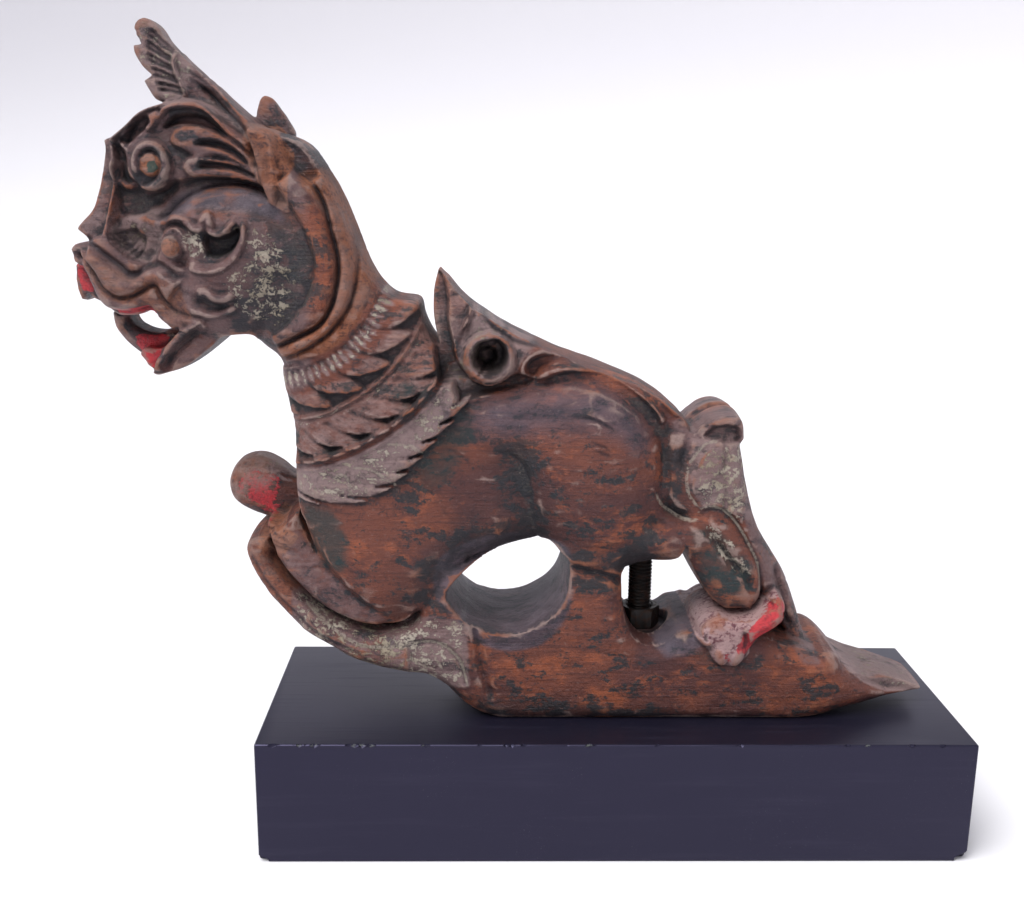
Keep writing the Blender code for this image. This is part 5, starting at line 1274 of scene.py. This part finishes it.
ROUND_SPOTS = (
    # Painted highlight: a pale crescent along the top of the cheek's dome, where the light falls.
    ("pale", 0.95, 8, [(-226, 246), (-218, 262), (-200, 270), (-180, 268), (-164, 256), (-180, 256),
        (-204, 258), (-216, 250)]),
    ("pale", 1.0, 5, [(-222, 257), (-236, 256), (-247, 247), (-240, 236), (-229, 232), (-222, 242)]),
    ("cream", 0.58, 4, FAN),
    ("cream", 0.66, 12, [(-190, 251), (-181, 254), (-170, 250), (-160, 240), (-155, 224), (-160, 206),
        (-172, 203), (-184, 208), (-190, 217), (-192, 229), (-185, 234), (-181, 242)]),
    ("cream", 0.68, 6, [(44, 146), (37, 132), (39, 116), (48, 112), (60, 106), (66, 118), (64, 134),
        (62, 146)]),
    ("cream", 0.7, 6, [(42, 105), (52, 104), (62, 92), (68, 80), (62, 78), (50, 90)]),
    # Painted shade: over the rear of the cheek's dome and deeper on its lower rear, in the waist before the
    # haunch, inside the lower jaw, under the belly and the chest, in the eye's hollow, under the wing's boss
    # and in the furrow between haunch and tail.
    ("painted_shade_and_dark_patch", 0.4, 16, [(-182, 250), (-166, 252), (-152, 236), (-152, 214), (-166, 198), (-182, 198),
        (-190, 212), (-186, 232)]),
    ("painted_shade_and_dark_patch", 0.55, 18, [(-64, 150), (-44, 142), (-36, 118), (-36, 94), (-54, 94), (-62, 120)]),
    ("painted_shade_and_dark_patch", 1.0, 2, [(-250, 204), (-241, 201), (-231, 198), (-222, 199), (-228, 194), (-240, 193),
        (-250, 196)]),
    ("painted_shade_and_dark_patch", 0.85, 14, [(-176, 236), (-160, 232), (-154, 218), (-160, 204), (-176, 200), (-188, 204),
        (-184, 222)]),
    ("painted_shade_and_dark_patch", 0.8, 18, [(-66, 96), (-50, 112), (-38, 112), (-32, 96), (-10, 92), (20, 92), (20, 76),
        (-28, 80)]),
    ("painted_shade_and_dark_patch", 0.75, 16, [(-112, 56), (-96, 66), (-88, 80), (-70, 96), (-74, 110), (-94, 92), (-114, 70)]),
    ("painted_shade_and_dark_patch", 0.9, 3, [(-205, 247), (-194, 247), (-183, 251), (-184, 240), (-192, 235), (-202, 237)]),
    ("painted_shade_and_dark_patch", 0.5, 10, [(-96, 208), (-90, 176), (-102, 152), (-84, 152), (-64, 170), (-84, 200)]),
    ("painted_shade_and_dark_patch", 0.6, 8, [(12, 162), (20, 148), (22, 128), (22, 112), (36, 108), (30, 122), (30, 146)]),
    # A dark patch on the wood beside the broken ear.
    ("painted_shade_and_dark_patch", 0.8, 3, [(-168, 298), (-158, 296), (-146, 290), (-138, 278), (-132, 264), (-141, 262),
        (-150, 268), (-157, 277), (-163, 286)]),
    ("raw", 0.66, 8, [(-157, 274), (-146, 258), (-140, 236), (-146, 210), (-168, 196), (-166, 186),
        (-140, 192), (-122, 216), (-122, 244), (-138, 276)]),
    ("verdigris", 0.62, 12, [(-100, 168), (-84, 174), (-70, 160), (-76, 140), (-90, 122), (-102, 128)]),
    ("verdigris", 0.6, 10, [(34, 104), (44, 108), (60, 96), (70, 80), (66, 66), (50, 68), (38, 86)]),
    ("verdigris", 0.3, 14, [(-168, 254), (-158, 248), (-152, 238), (-150, 222), (-158, 205), (-174, 200),
        (-174, 224)]),
    ("verdigris", 0.95, 16, [(-160, 112), (-150, 116), (-140, 110), (-134, 94), (-140, 78), (-152, 86)]),
    ("verdigris", 1.0, 2, [(-227, 278.5), (-223, 281), (-220, 280), (-219.5, 276), (-222, 273.5),
        (-226, 274)]),
    ("verdigris", 0.6, 6, [(-112, 176), (-104, 180), (-100, 170), (-106, 160), (-114, 166)]),
    # Painted highlight: a grey sheen on the top of the cheek's dome.
    ("grey_paint_and_sheen", 0.8, 8, [(-224, 252), (-216, 264), (-200, 270), (-182, 269), (-166, 262), (-160, 250),
        (-178, 256), (-200, 258), (-214, 254)]),
    ("grey_paint_and_sheen", 1.0, 5, [(-92, 84), (-92, 66), (-78, 52), (-70, 42), (-54, 38), (-38, 42), (-26, 56), (-23, 74),
        (-27, 94), (-60, 100), (-84, 92)]),
    # Painted sheen along the top of the back and the haunch.
    ("grey_paint_and_sheen", 0.7, 26, [(-94, 160), (-60, 172), (-30, 178), (0, 172), (16, 156), (10, 140), (-12, 150),
        (-40, 148), (-70, 146)]),
    ("red", 0.62, 10, [(-174, 119), (-184, 125), (-194, 125), (-199, 117), (-198, 109), (-188, 102),
        (-176, 100)]),
    ("red", 0.45, 5, [(52, 37), (56, 31), (64, 32), (67, 38), (60, 40)]),
    ("pink", 1.0, 4, [(41, 52), (45, 57), (52, 60), (60, 58), (68, 59), (76, 64), (83, 69), (80, 62),
        (71, 56), (66, 50), (69, 38), (62, 31), (56, 31), (50, 35), (46, 42), (41, 46)]),
)
# The middle arc is painted shade inside the bore of the wing's boss.
ARC_SPOTS = (("raw", 1.0, 2, (-215, 240.5), 4.5, 330, 10), ("painted_shade_and_dark_patch", 0.9, 4, (-64, 187), 9, 345, 20),
    ("raw", 0.7, 2, (-224, 277.5), 5.6, 345, 16))


def paint_board(board):
    """Where each paint, and the bare or broken wood, still shows, and where shade is painted into recesses
    and undersides.
    """
    board.paint("mauve", PAINTED_HEAD, 0.6, soft=16)
    board.tints["mauve"] *= 1 - 0.45 * smooth_step(board.x, -156, -146) * smooth_step(-board.x, 84, 100)
    for spots, outline_of in ((ANGULAR_SPOTS, np.array), (ROUND_SPOTS, loop)):
        for tint, left, soft, points in spots:
            board.paint(tint, outline_of(points), left, soft)
    for tint, left, soft, centre, radius, end, steps in ARC_SPOTS:
        board.paint(tint, arc(centre, radius, 0, end, steps), left, soft)
    board.brush("pale", [(-241, 292), (-235, 299), (-227, 304), (-218, 306), (-210, 307), (-200, 306),
        (-191, 302), (-184, 297), (-178, 292)], 5, 0.75)
    # Less painted shade in the cuts of the fan.
    box, depth = board.inside(loop(FAN))
    board.tints["cut"][box] *= 1 - 0.6 * smooth_step(depth, -1, 1)


def paint_collar(board):
    """The collar's rows of leaves, bare but for pale pleats at their roots, and its broad pale hem, with
    painted shadow under the hem's points and painted shade in the gaps between the leaves.
    """
    radius, angle = board.polar(COLLAR_CENTRE)
    front = (angle < COLLAR_START) & (angle > COLLAR_END)
    edge, _ = hem_edge(radius, angle)
    hem = front * smooth_step(radius, 105, 110) * smooth_step(edge - radius, -0.6, 0.6)
    # A painted shadow just outside the hem's pointed edge.
    below = front * smooth_step(radius - edge, -0.4, 0.6) * smooth_step(edge - radius, -5, -1)
    rows = front * smooth_step(radius, 66, 74) * smooth_step(-radius, -106, -103)
    roots = front * smooth_step(radius, 59, 61) * smooth_step(-radius, -71, -66)
    roots = roots * smooth_step(-board.x, 92, 96)
    beads = front * smooth_step(radius, 82, 84) * smooth_step(-radius, -90, -88)
    pleats = 0.5 + 0.5 * np.cos(np.radians(angle) * PLEATS)
    roots = roots * (0.45 + 0.55 * smooth_step(pleats, 0.2, 0.8))
    for tint, share, place in (("painted_shade_and_dark_patch", 1, hem), ("verdigris", 1, hem), ("raw", 1, hem), ("mauve", 0.5, rows),
            ("pale", 0.8, rows)):
        board.tints[tint] *= 1 - share * place
    for tint, left, place in (("mauve", 1.0, hem), ("pale", 0.8, hem), ("cream", 0.6, hem),
            ("painted_shade_and_dark_patch", 0.9, below), ("pale", 0.9, roots), ("cream", 0.78, roots), ("verdigris", 0.42, rows),
            ("pale", 0.55, rows), ("cream", 0.5, beads)):
        board.lay(tint, left * place)
    # Painted shade in the gaps between the leaves.
    for row in LEAF_ROWS:
        share, turned, upper, lower = leaf_spots(radius, angle, row)
        across = turned % 1
        gaps = np.maximum(smooth_step(upper - across, -0.06, 0.02), smooth_step(across - lower, -0.1, 0.0))
        board.lay("painted_shade_and_dark_patch", 0.85 * front * (share > 0.08) * (share < 1) * gaps)


def painted_board(step):
    """The figure's board for the render: the shared carving, and then the fine marks and the paint."""
    board = PaintedBoard(step)
    for carve in (carve_log, carve_hind_leg, carve_body, carve_forelegs, carve_collar, carve_wing, carve_head,
            carve_fine, paint_board, paint_collar):
        carve(board)
    split = unevenness(board.x.shape, [size / step for size in ROUGH_GRAIN], 4)
    board.half += ROUGH_BREAK * (0.25 + board.tints["raw"]) * split
    return board


def bored(field, corner, step):
    """The field with the flat seat, the pocket for the nut and the bore for the rod taken out."""
    x, y, z = (corner[axis] + step * np.arange(field.shape[axis], dtype=np.float32) for axis in range(3))
    reach = np.hypot(x[:, None] - BORE_DRAWN_X, y[None, :])[:, :, None]
    field = np.maximum(field, -z[None, None, :])
    for radius, top in ((BORE_RADIUS / SCALE, BELLY_Z + ROD_IN_BELLY / SCALE + 0.3),
            (POCKET_DIAMETER / 2 / SCALE, POCKET_TOP)):
        low = POCKET_FLOOR if top == POCKET_TOP else -FAR
        shaft = np.maximum(reach - radius, np.maximum(low - z, z - top)[None, None, :])
        field = np.maximum(field, -shaft)
    return field


def sampled(layer, board, points):
    """A layer of the board read off at places of the drawing."""
    u = np.clip((points[:, 0] - board.low[0]) / board.step, 0, layer.shape[0] - 2)
    v = np.clip((points[:, 2] - board.low[1]) / board.step, 0, layer.shape[1] - 2)
    i, j = u.astype(int), v.astype(int)
    return mixed(layer, i, j, u - i, v - j)


def swell(mesh, rounds):
    """How far each point stands out from its neighbourhood, in metres: hollows are negative."""
    places = read_off(mesh.vertices, "co")
    first, second = read_off(mesh.edges, "vertices", 2).T
    count = len(places)
    near = np.bincount(first, minlength=count) + np.bincount(second, minlength=count)
    moved = places.copy()
    for _ in range(rounds):
        total = np.stack([np.bincount(first, moved[second, k], count) + np.bincount(second, moved[first, k],
            count) for k in range(3)], axis=1)
        moved = 0.5 * moved + 0.5 * total / np.maximum(near, 1)[:, None]
    return ((places - moved) * read_off(mesh.vertices, "normal")).sum(axis=1)


def wood_finish():
    finish = Finish("worn_painted_wood")
    mark = finish.mark
    ridge, hollow, valley, under = mark("ridge"), mark("hollow"), mark("valley"), mark("under")
    grain = finish.cloud(0.0012, (16, 3, 1), detail=5, roughness=0.6)
    smears = finish.cloud(0.009, (2.2, 1, 1), detail=6, roughness=0.66, shift=3.0, distortion=0.35)
    patches = finish.cloud(0.026, (1.6, 1, 1), detail=5, roughness=0.55, shift=6.0)
    flecks = finish.cloud(0.0045, (1.7, 1, 1), detail=6, roughness=0.7, shift=7.0, distortion=0.4)
    broad = finish.cloud(0.06, detail=3, shift=5.0)
    fine = finish.cloud(0.0015, detail=5, roughness=0.7, shift=1.0)
    specks = finish.cloud(0.0022, (1.3, 1, 1.3), detail=5, roughness=0.75, shift=8.0, distortion=0.5)
    mottle = patches * 0.55 + flecks * 0.45

    def left(tint, much, breaks, uneven, gone, whole):
        """Where a tint is left: worn through in the broken pattern of one of the clouds."""
        return (mark(tint) * much + (breaks - 0.5) * uneven).ease(gone, whole)

    # Bare wood: red-brown, here and there orange, with dark grain, dark specks and light ones
    finish.colour = finish.blend((0.078, 0.027, 0.020), (0.145, 0.044, 0.023), broad.ease(0.4, 0.58))
    finish.coat((0.30, 0.082, 0.03), mottle.ease(0.48, 0.6) * 0.8)
    finish.coat((0.026, 0.012, 0.011), grain.ease(0.48, 0.7) * 0.5)
    finish.coat((0.034, 0.016, 0.016), specks.ease(0.5, 0.6) * smears.ease(0.45, 0.55) * 0.6)
    finish.coat((0.15, 0.10, 0.095), specks.ease(0.6, 0.72) * 0.35)

    # Old lacquer in mauve-brown, the pale ground that shows under it, and grey paint, which on the top of the
    # back and of the cheek is a painted sheen
    mauve = finish.blend((0.145, 0.085, 0.08), (0.048, 0.028, 0.029), smears.ease(0.44, 0.6) * 0.85)
    mauve = finish.blend(mauve, (0.22, 0.165, 0.16), fine.ease(0.52, 0.75) * 0.5)
    mauve = finish.blend(mauve, (0.18, 0.062, 0.033), mottle.ease(0.52, 0.6) * 0.7)
    lacquer_left = left("mauve", 1.15, flecks, 0.7, 0.42, 0.7)
    finish.coat(mauve, lacquer_left * 0.9)
    pale = finish.blend((0.24, 0.165, 0.155), (0.11, 0.062, 0.06),
        (smears * 0.6 + specks * 0.4).ease(0.49, 0.62))
    finish.coat(pale, left("pale", 1.1, flecks, 0.9, 0.35, 0.85) * 0.85)
    grey_paint_and_sheen = finish.blend((0.105, 0.088, 0.108), (0.04, 0.034, 0.044),
        (broad * 0.4 + smears * 0.6).ease(0.4, 0.6))
    finish.coat(grey_paint_and_sheen, left("grey_paint_and_sheen", 1.2, smears, 0.8, 0.2, 1.0) * 0.85)

    # Black and green-black paint left in islands, a little more of it where shade falls, painted shade in the
    # spots marked for it, green-black verdigris, and painted shade on the surfaces that face down
    shade = smears * 0.4 + flecks * 0.25 + specks * 0.15 + patches * 0.2
    dark_paint = (shade + mark("painted_shade_and_dark_patch") * 0.06 + under * 0.03 + valley * 0.03).ease(0.516, 0.55)
    dark = finish.blend((0.010, 0.012, 0.014), (0.016, 0.030, 0.030), fine)
    keep = 1 - mark("raw") * 0.9 - mark("grey_paint_and_sheen") * 0.5 - mark("pink") * 0.6 - mark("mauve") * 0.2
    keep = keep - mark("pale") * 0.4
    finish.coat(dark, dark_paint * keep * 0.88)
    finish.coat((0.013, 0.011, 0.011), mark("painted_shade_and_dark_patch") * (0.4 + patches * 0.8) * 0.9)
    finish.coat((0.014, 0.030, 0.027), left("verdigris", 1.1, smears, 1.3, 0.35, 0.9) * 0.75)
    finish.coat((0.014, 0.010, 0.011), under * 0.55)

    # Flakes of the cream ground, raw broken wood, and what is left of the pink and the red
    flaked = mark("cream") + (specks - 0.5) * 1.6 + (flecks - 0.5) * 1.3 + (fine - 0.5) * 0.5
    flaked = flaked.ease(0.68, 0.78)
    cream = finish.blend((0.44, 0.385, 0.31), (0.28, 0.235, 0.165), patches.ease(0.4, 0.6))
    finish.coat(cream, flaked * (1 - mark("red")) * 0.85)
    raw = finish.blend((0.26, 0.092, 0.040), (0.09, 0.034, 0.02),
        (grain * 0.3 + specks * 0.7).ease(0.47, 0.6))
    raw = finish.blend(raw, (0.21, 0.14, 0.12), patches.ease(0.42, 0.6) * 0.65)
    finish.coat(raw, left("raw", 1.2, flecks, 0.6, 0.4, 0.8) * 0.9)
    pink = finish.blend((0.37, 0.24, 0.23), (0.13, 0.045, 0.055),
        (flecks * 0.6 + specks * 0.5).ease(0.54, 0.64))
    finish.coat(pink, left("pink", 1.2, flecks, 0.7, 0.4, 0.8) * 0.9)
    red = finish.blend((0.50, 0.035, 0.04), (0.2, 0.022, 0.026), (fine * 0.4 + flecks * 0.6).ease(0.44, 0.62))
    red_left = mark("red") * 1.25 + (flecks - 0.5) * 1.5 + (specks - 0.5) * 0.8 - ridge * 0.15
    red_left = red_left.ease(0.5, 0.62)
    finish.coat(red, red_left * 0.94)

    # Painted shade in the hollows and along the narrow cuts, dust in the valleys, rubbed ridges, pale
    # engraved lines and scattered specks
    finish.coat((0.006, 0.005, 0.005), hollow * 0.65)
    finish.coat((0.010, 0.008, 0.009), mark("cut") * 0.7)
    dust = (valley - hollow).ease(0.1, 0.6) * fine.ease(0.42, 0.7)
    finish.coat((0.12, 0.105, 0.08), dust * 0.3)
    worn = ridge * (0.3 + fine)
    rubbed = finish.blend((0.30, 0.21, 0.18), (0.26, 0.09, 0.042), patches.ease(0.42, 0.58))
    finish.coat(rubbed, worn.ease(0.2, 0.9) * (1 - mark("raw") * 0.7) * 0.75)
    finish.coat((0.34, 0.29, 0.23), mark("line").ease(0.25, 0.75) * fine.ease(0.36, 0.52) * 0.6)
    finish.coat((0.02, 0.06, 0.046), mark("verdigris").ease(0.96, 1.0) * 0.85)
    finish.coat((0.012, 0.009, 0.010), specks.ease(0.58, 0.68) * 0.28)
    finish.coat((0.30, 0.24, 0.21), specks.ease(0.44, 0.36) * fine.ease(0.5, 0.62) * 0.22)

    roughness = 0.44 + fine * 0.2 + flaked * 0.2 + mark("raw") * 0.2 - lacquer_left * 0.08
    height = grain * 0.0006 + fine * 0.0006 + specks * 0.0011 + flaked * 0.0002 + red_left * 0.0001
    finish.feed(finish.shader.inputs["Specular IOR Level"], 0.42)
    finish.feed(finish.shader.inputs["Specular Tint"], (0.84, 0.84, 1.0))
    return finish.dress(roughness, height)


def make_lion():
    step = FINE_STEP
    board = painted_board(step)
    field, corner = carved_field(board)
    field = bored(field, corner, step)
    points, faces = surface_of(field, corner, step)
    points = (points - (BORE_DRAWN_X, 0, 0)) * SCALE + (ROD_X, 0, SEAT_Z)
    mesh = bpy.data.meshes.new("carving")
    mesh.from_pydata(points.tolist(), [], faces)
    blank = placed("carving_blank", mesh)
    thin = blank.modifiers.new("fewer_faces", "DECIMATE")
    thin.ratio = min(LION_TRIANGLES / sum(len(face) - 2 for face in faces), 1)
    thin.use_collapse_triangulate = True
    mesh = baked("carved_beast", blank)
    drawn = (read_off(mesh.vertices, "co") - (ROD_X, 0, SEAT_Z)) / SCALE + (BORE_DRAWN_X, 0, 0)
    near, wide = swell(mesh, NEAR_ROUNDS), swell(mesh, WIDE_ROUNDS)
    layers = {tint: sampled(board.tints[tint], board, drawn) for tint in TINTS}
    for name, height, (low, reach) in (("ridge", near, RIDGE), ("hollow", -near, HOLLOW),
            ("valley", -wide, VALLEY)):
        layers[name] = np.clip((height - low) / reach, 0, 1)
    # How far each point faces down, for the painted shade on the undersides.
    layers["under"] = smooth_step(-read_off(mesh.vertices, "normal")[:, 2], 0.15, 0.85)
    for name, values in layers.items():
        write_down(mesh, name, values)
    mesh.shade_smooth()
    piece_from("carved_beast", mesh, wood_finish(), "carved_lion")


make_lion()


# The floor, lights and camera: a pale floor that curves up into a low wall all round, the wall coloured a
# darker grey as painted shade, a broad soft light from the upper left and weaker fills. The camera looks
# slightly down on the shown side.
FLOOR = (0.80, 0.795, 0.815)
WALL = (0.7, 0.69, 0.72)
WALL_TONE = (0.1, 0.7)
FLOOR_ROUGHNESS = 0.85
FLOOR_REACH = 1.6
FLOOR_BEND = 0.9
FLOOR_SIDES = 96
BEND_STEPS = 12
WALL_HEIGHT = 1.2
CAMERA_PLACE = (-0.06584, -0.5881, 0.33968)
CAMERA_FOCUS = 1159.23
CAMERA_PITCH = 0.23299
CAMERA_YAW = 0.02103
CAMERA_ROLL = 0.01095
PICTURE_WIDTH = 1024
SENSOR_WIDTH = 36
CAMERA_CLIP = (0.02, 200)
LIGHT_TARGET = (-0.03, 0, 0.2)
AREA_LIGHTS = (("window", (-0.75, -1.1, 1.35), 1.1, 8), ("back", (0.2, 1.2, 1.1), 1.2, 1.5))
SKY = (0.93, 0.92, 1.0)
SKY_STRENGTH = 0.5
SUN_FROM = (-0.42, -0.38, 1.0)
SUN_STRENGTH = 2.95
SUN_SPREAD = 40


def make_floor():
    profile = [(0, 0), (FLOOR_REACH, 0)]
    for turn in np.linspace(0, math.pi / 2, BEND_STEPS)[1:]:
        profile.append((FLOOR_REACH + FLOOR_BEND * math.sin(turn), FLOOR_BEND * (1 - math.cos(turn))))
    profile.append((FLOOR_REACH + FLOOR_BEND, WALL_HEIGHT))
    shape = bmesh.new()
    line = [shape.verts.new((reach, 0, height)) for reach, height in profile]
    edges = [shape.edges.new(pair) for pair in zip(line, line[1:])]
    bmesh.ops.spin(shape, geom=line + edges, cent=(0, 0, 0), axis=(0, 0, 1), angle=2 * math.pi,
        steps=FLOOR_SIDES, use_duplicate=False)
    bmesh.ops.remove_doubles(shape, verts=shape.verts, dist=0.0001)
    bmesh.ops.recalc_face_normals(shape, faces=shape.faces)
    mesh = mesh_of("floor", shape)
    mesh.shade_smooth()
    finish = Finish("pale_floor")
    height = finish.add("ShaderNodeSeparateXYZ", {}, {"Vector": finish.place}, "Z")
    # Painted shade: the floor darkens into the wall's grey as it rises.
    finish.feed(finish.shader.inputs["Base Color"], finish.blend(FLOOR, WALL, height.ease(*WALL_TONE)))
    finish.feed(finish.shader.inputs["Roughness"], FLOOR_ROUGHNESS)
    mesh.materials.append(finish.material)
    floor = placed("floor", mesh)


def make_lights():
    for name, place, size, power in AREA_LIGHTS:
        light = bpy.data.lights.new(name, "AREA")
        light.energy = power
        light.shape = "DISK"
        light.size = size
        lamp = placed(name, light)
        lamp.location = place
        lamp.rotation_euler = (Vector(LIGHT_TARGET) - Vector(place)).to_track_quat("-Z", "Y").to_euler()
    sun = bpy.data.lights.new("skylight", "SUN")
    sun.energy = SUN_STRENGTH
    sun.angle = math.radians(SUN_SPREAD)
    placed("skylight", sun).rotation_euler = Vector(SUN_FROM).to_track_quat("Z", "Y").to_euler()
    world = bpy.data.worlds.new("studio")
    bpy.context.scene.world = world
    world.use_nodes = True
    world.node_tree.nodes["Background"].inputs["Color"].default_value = (*SKY, 1)
    world.node_tree.nodes["Background"].inputs["Strength"].default_value = SKY_STRENGTH
    bpy.context.scene.view_settings.view_transform = "Standard"


def make_camera():
    forward = Vector((math.sin(CAMERA_YAW) * math.cos(CAMERA_PITCH),
        math.cos(CAMERA_YAW) * math.cos(CAMERA_PITCH), -math.sin(CAMERA_PITCH)))
    right = Vector((math.cos(CAMERA_YAW), -math.sin(CAMERA_YAW), 0))
    up = right.cross(forward)
    across = math.cos(CAMERA_ROLL) * right + math.sin(CAMERA_ROLL) * up
    top = -math.sin(CAMERA_ROLL) * right + math.cos(CAMERA_ROLL) * up
    lens = bpy.data.cameras.new("camera")
    lens.sensor_width = SENSOR_WIDTH
    lens.lens = CAMERA_FOCUS * SENSOR_WIDTH / PICTURE_WIDTH
    lens.clip_start, lens.clip_end = CAMERA_CLIP
    camera = placed("camera", lens)
    axes = Matrix((across, top, -forward)).transposed().to_4x4()
    camera.matrix_world = Matrix.Translation(CAMERA_PLACE) @ axes
    bpy.context.scene.camera = camera


make_floor()
make_lights()
make_camera()
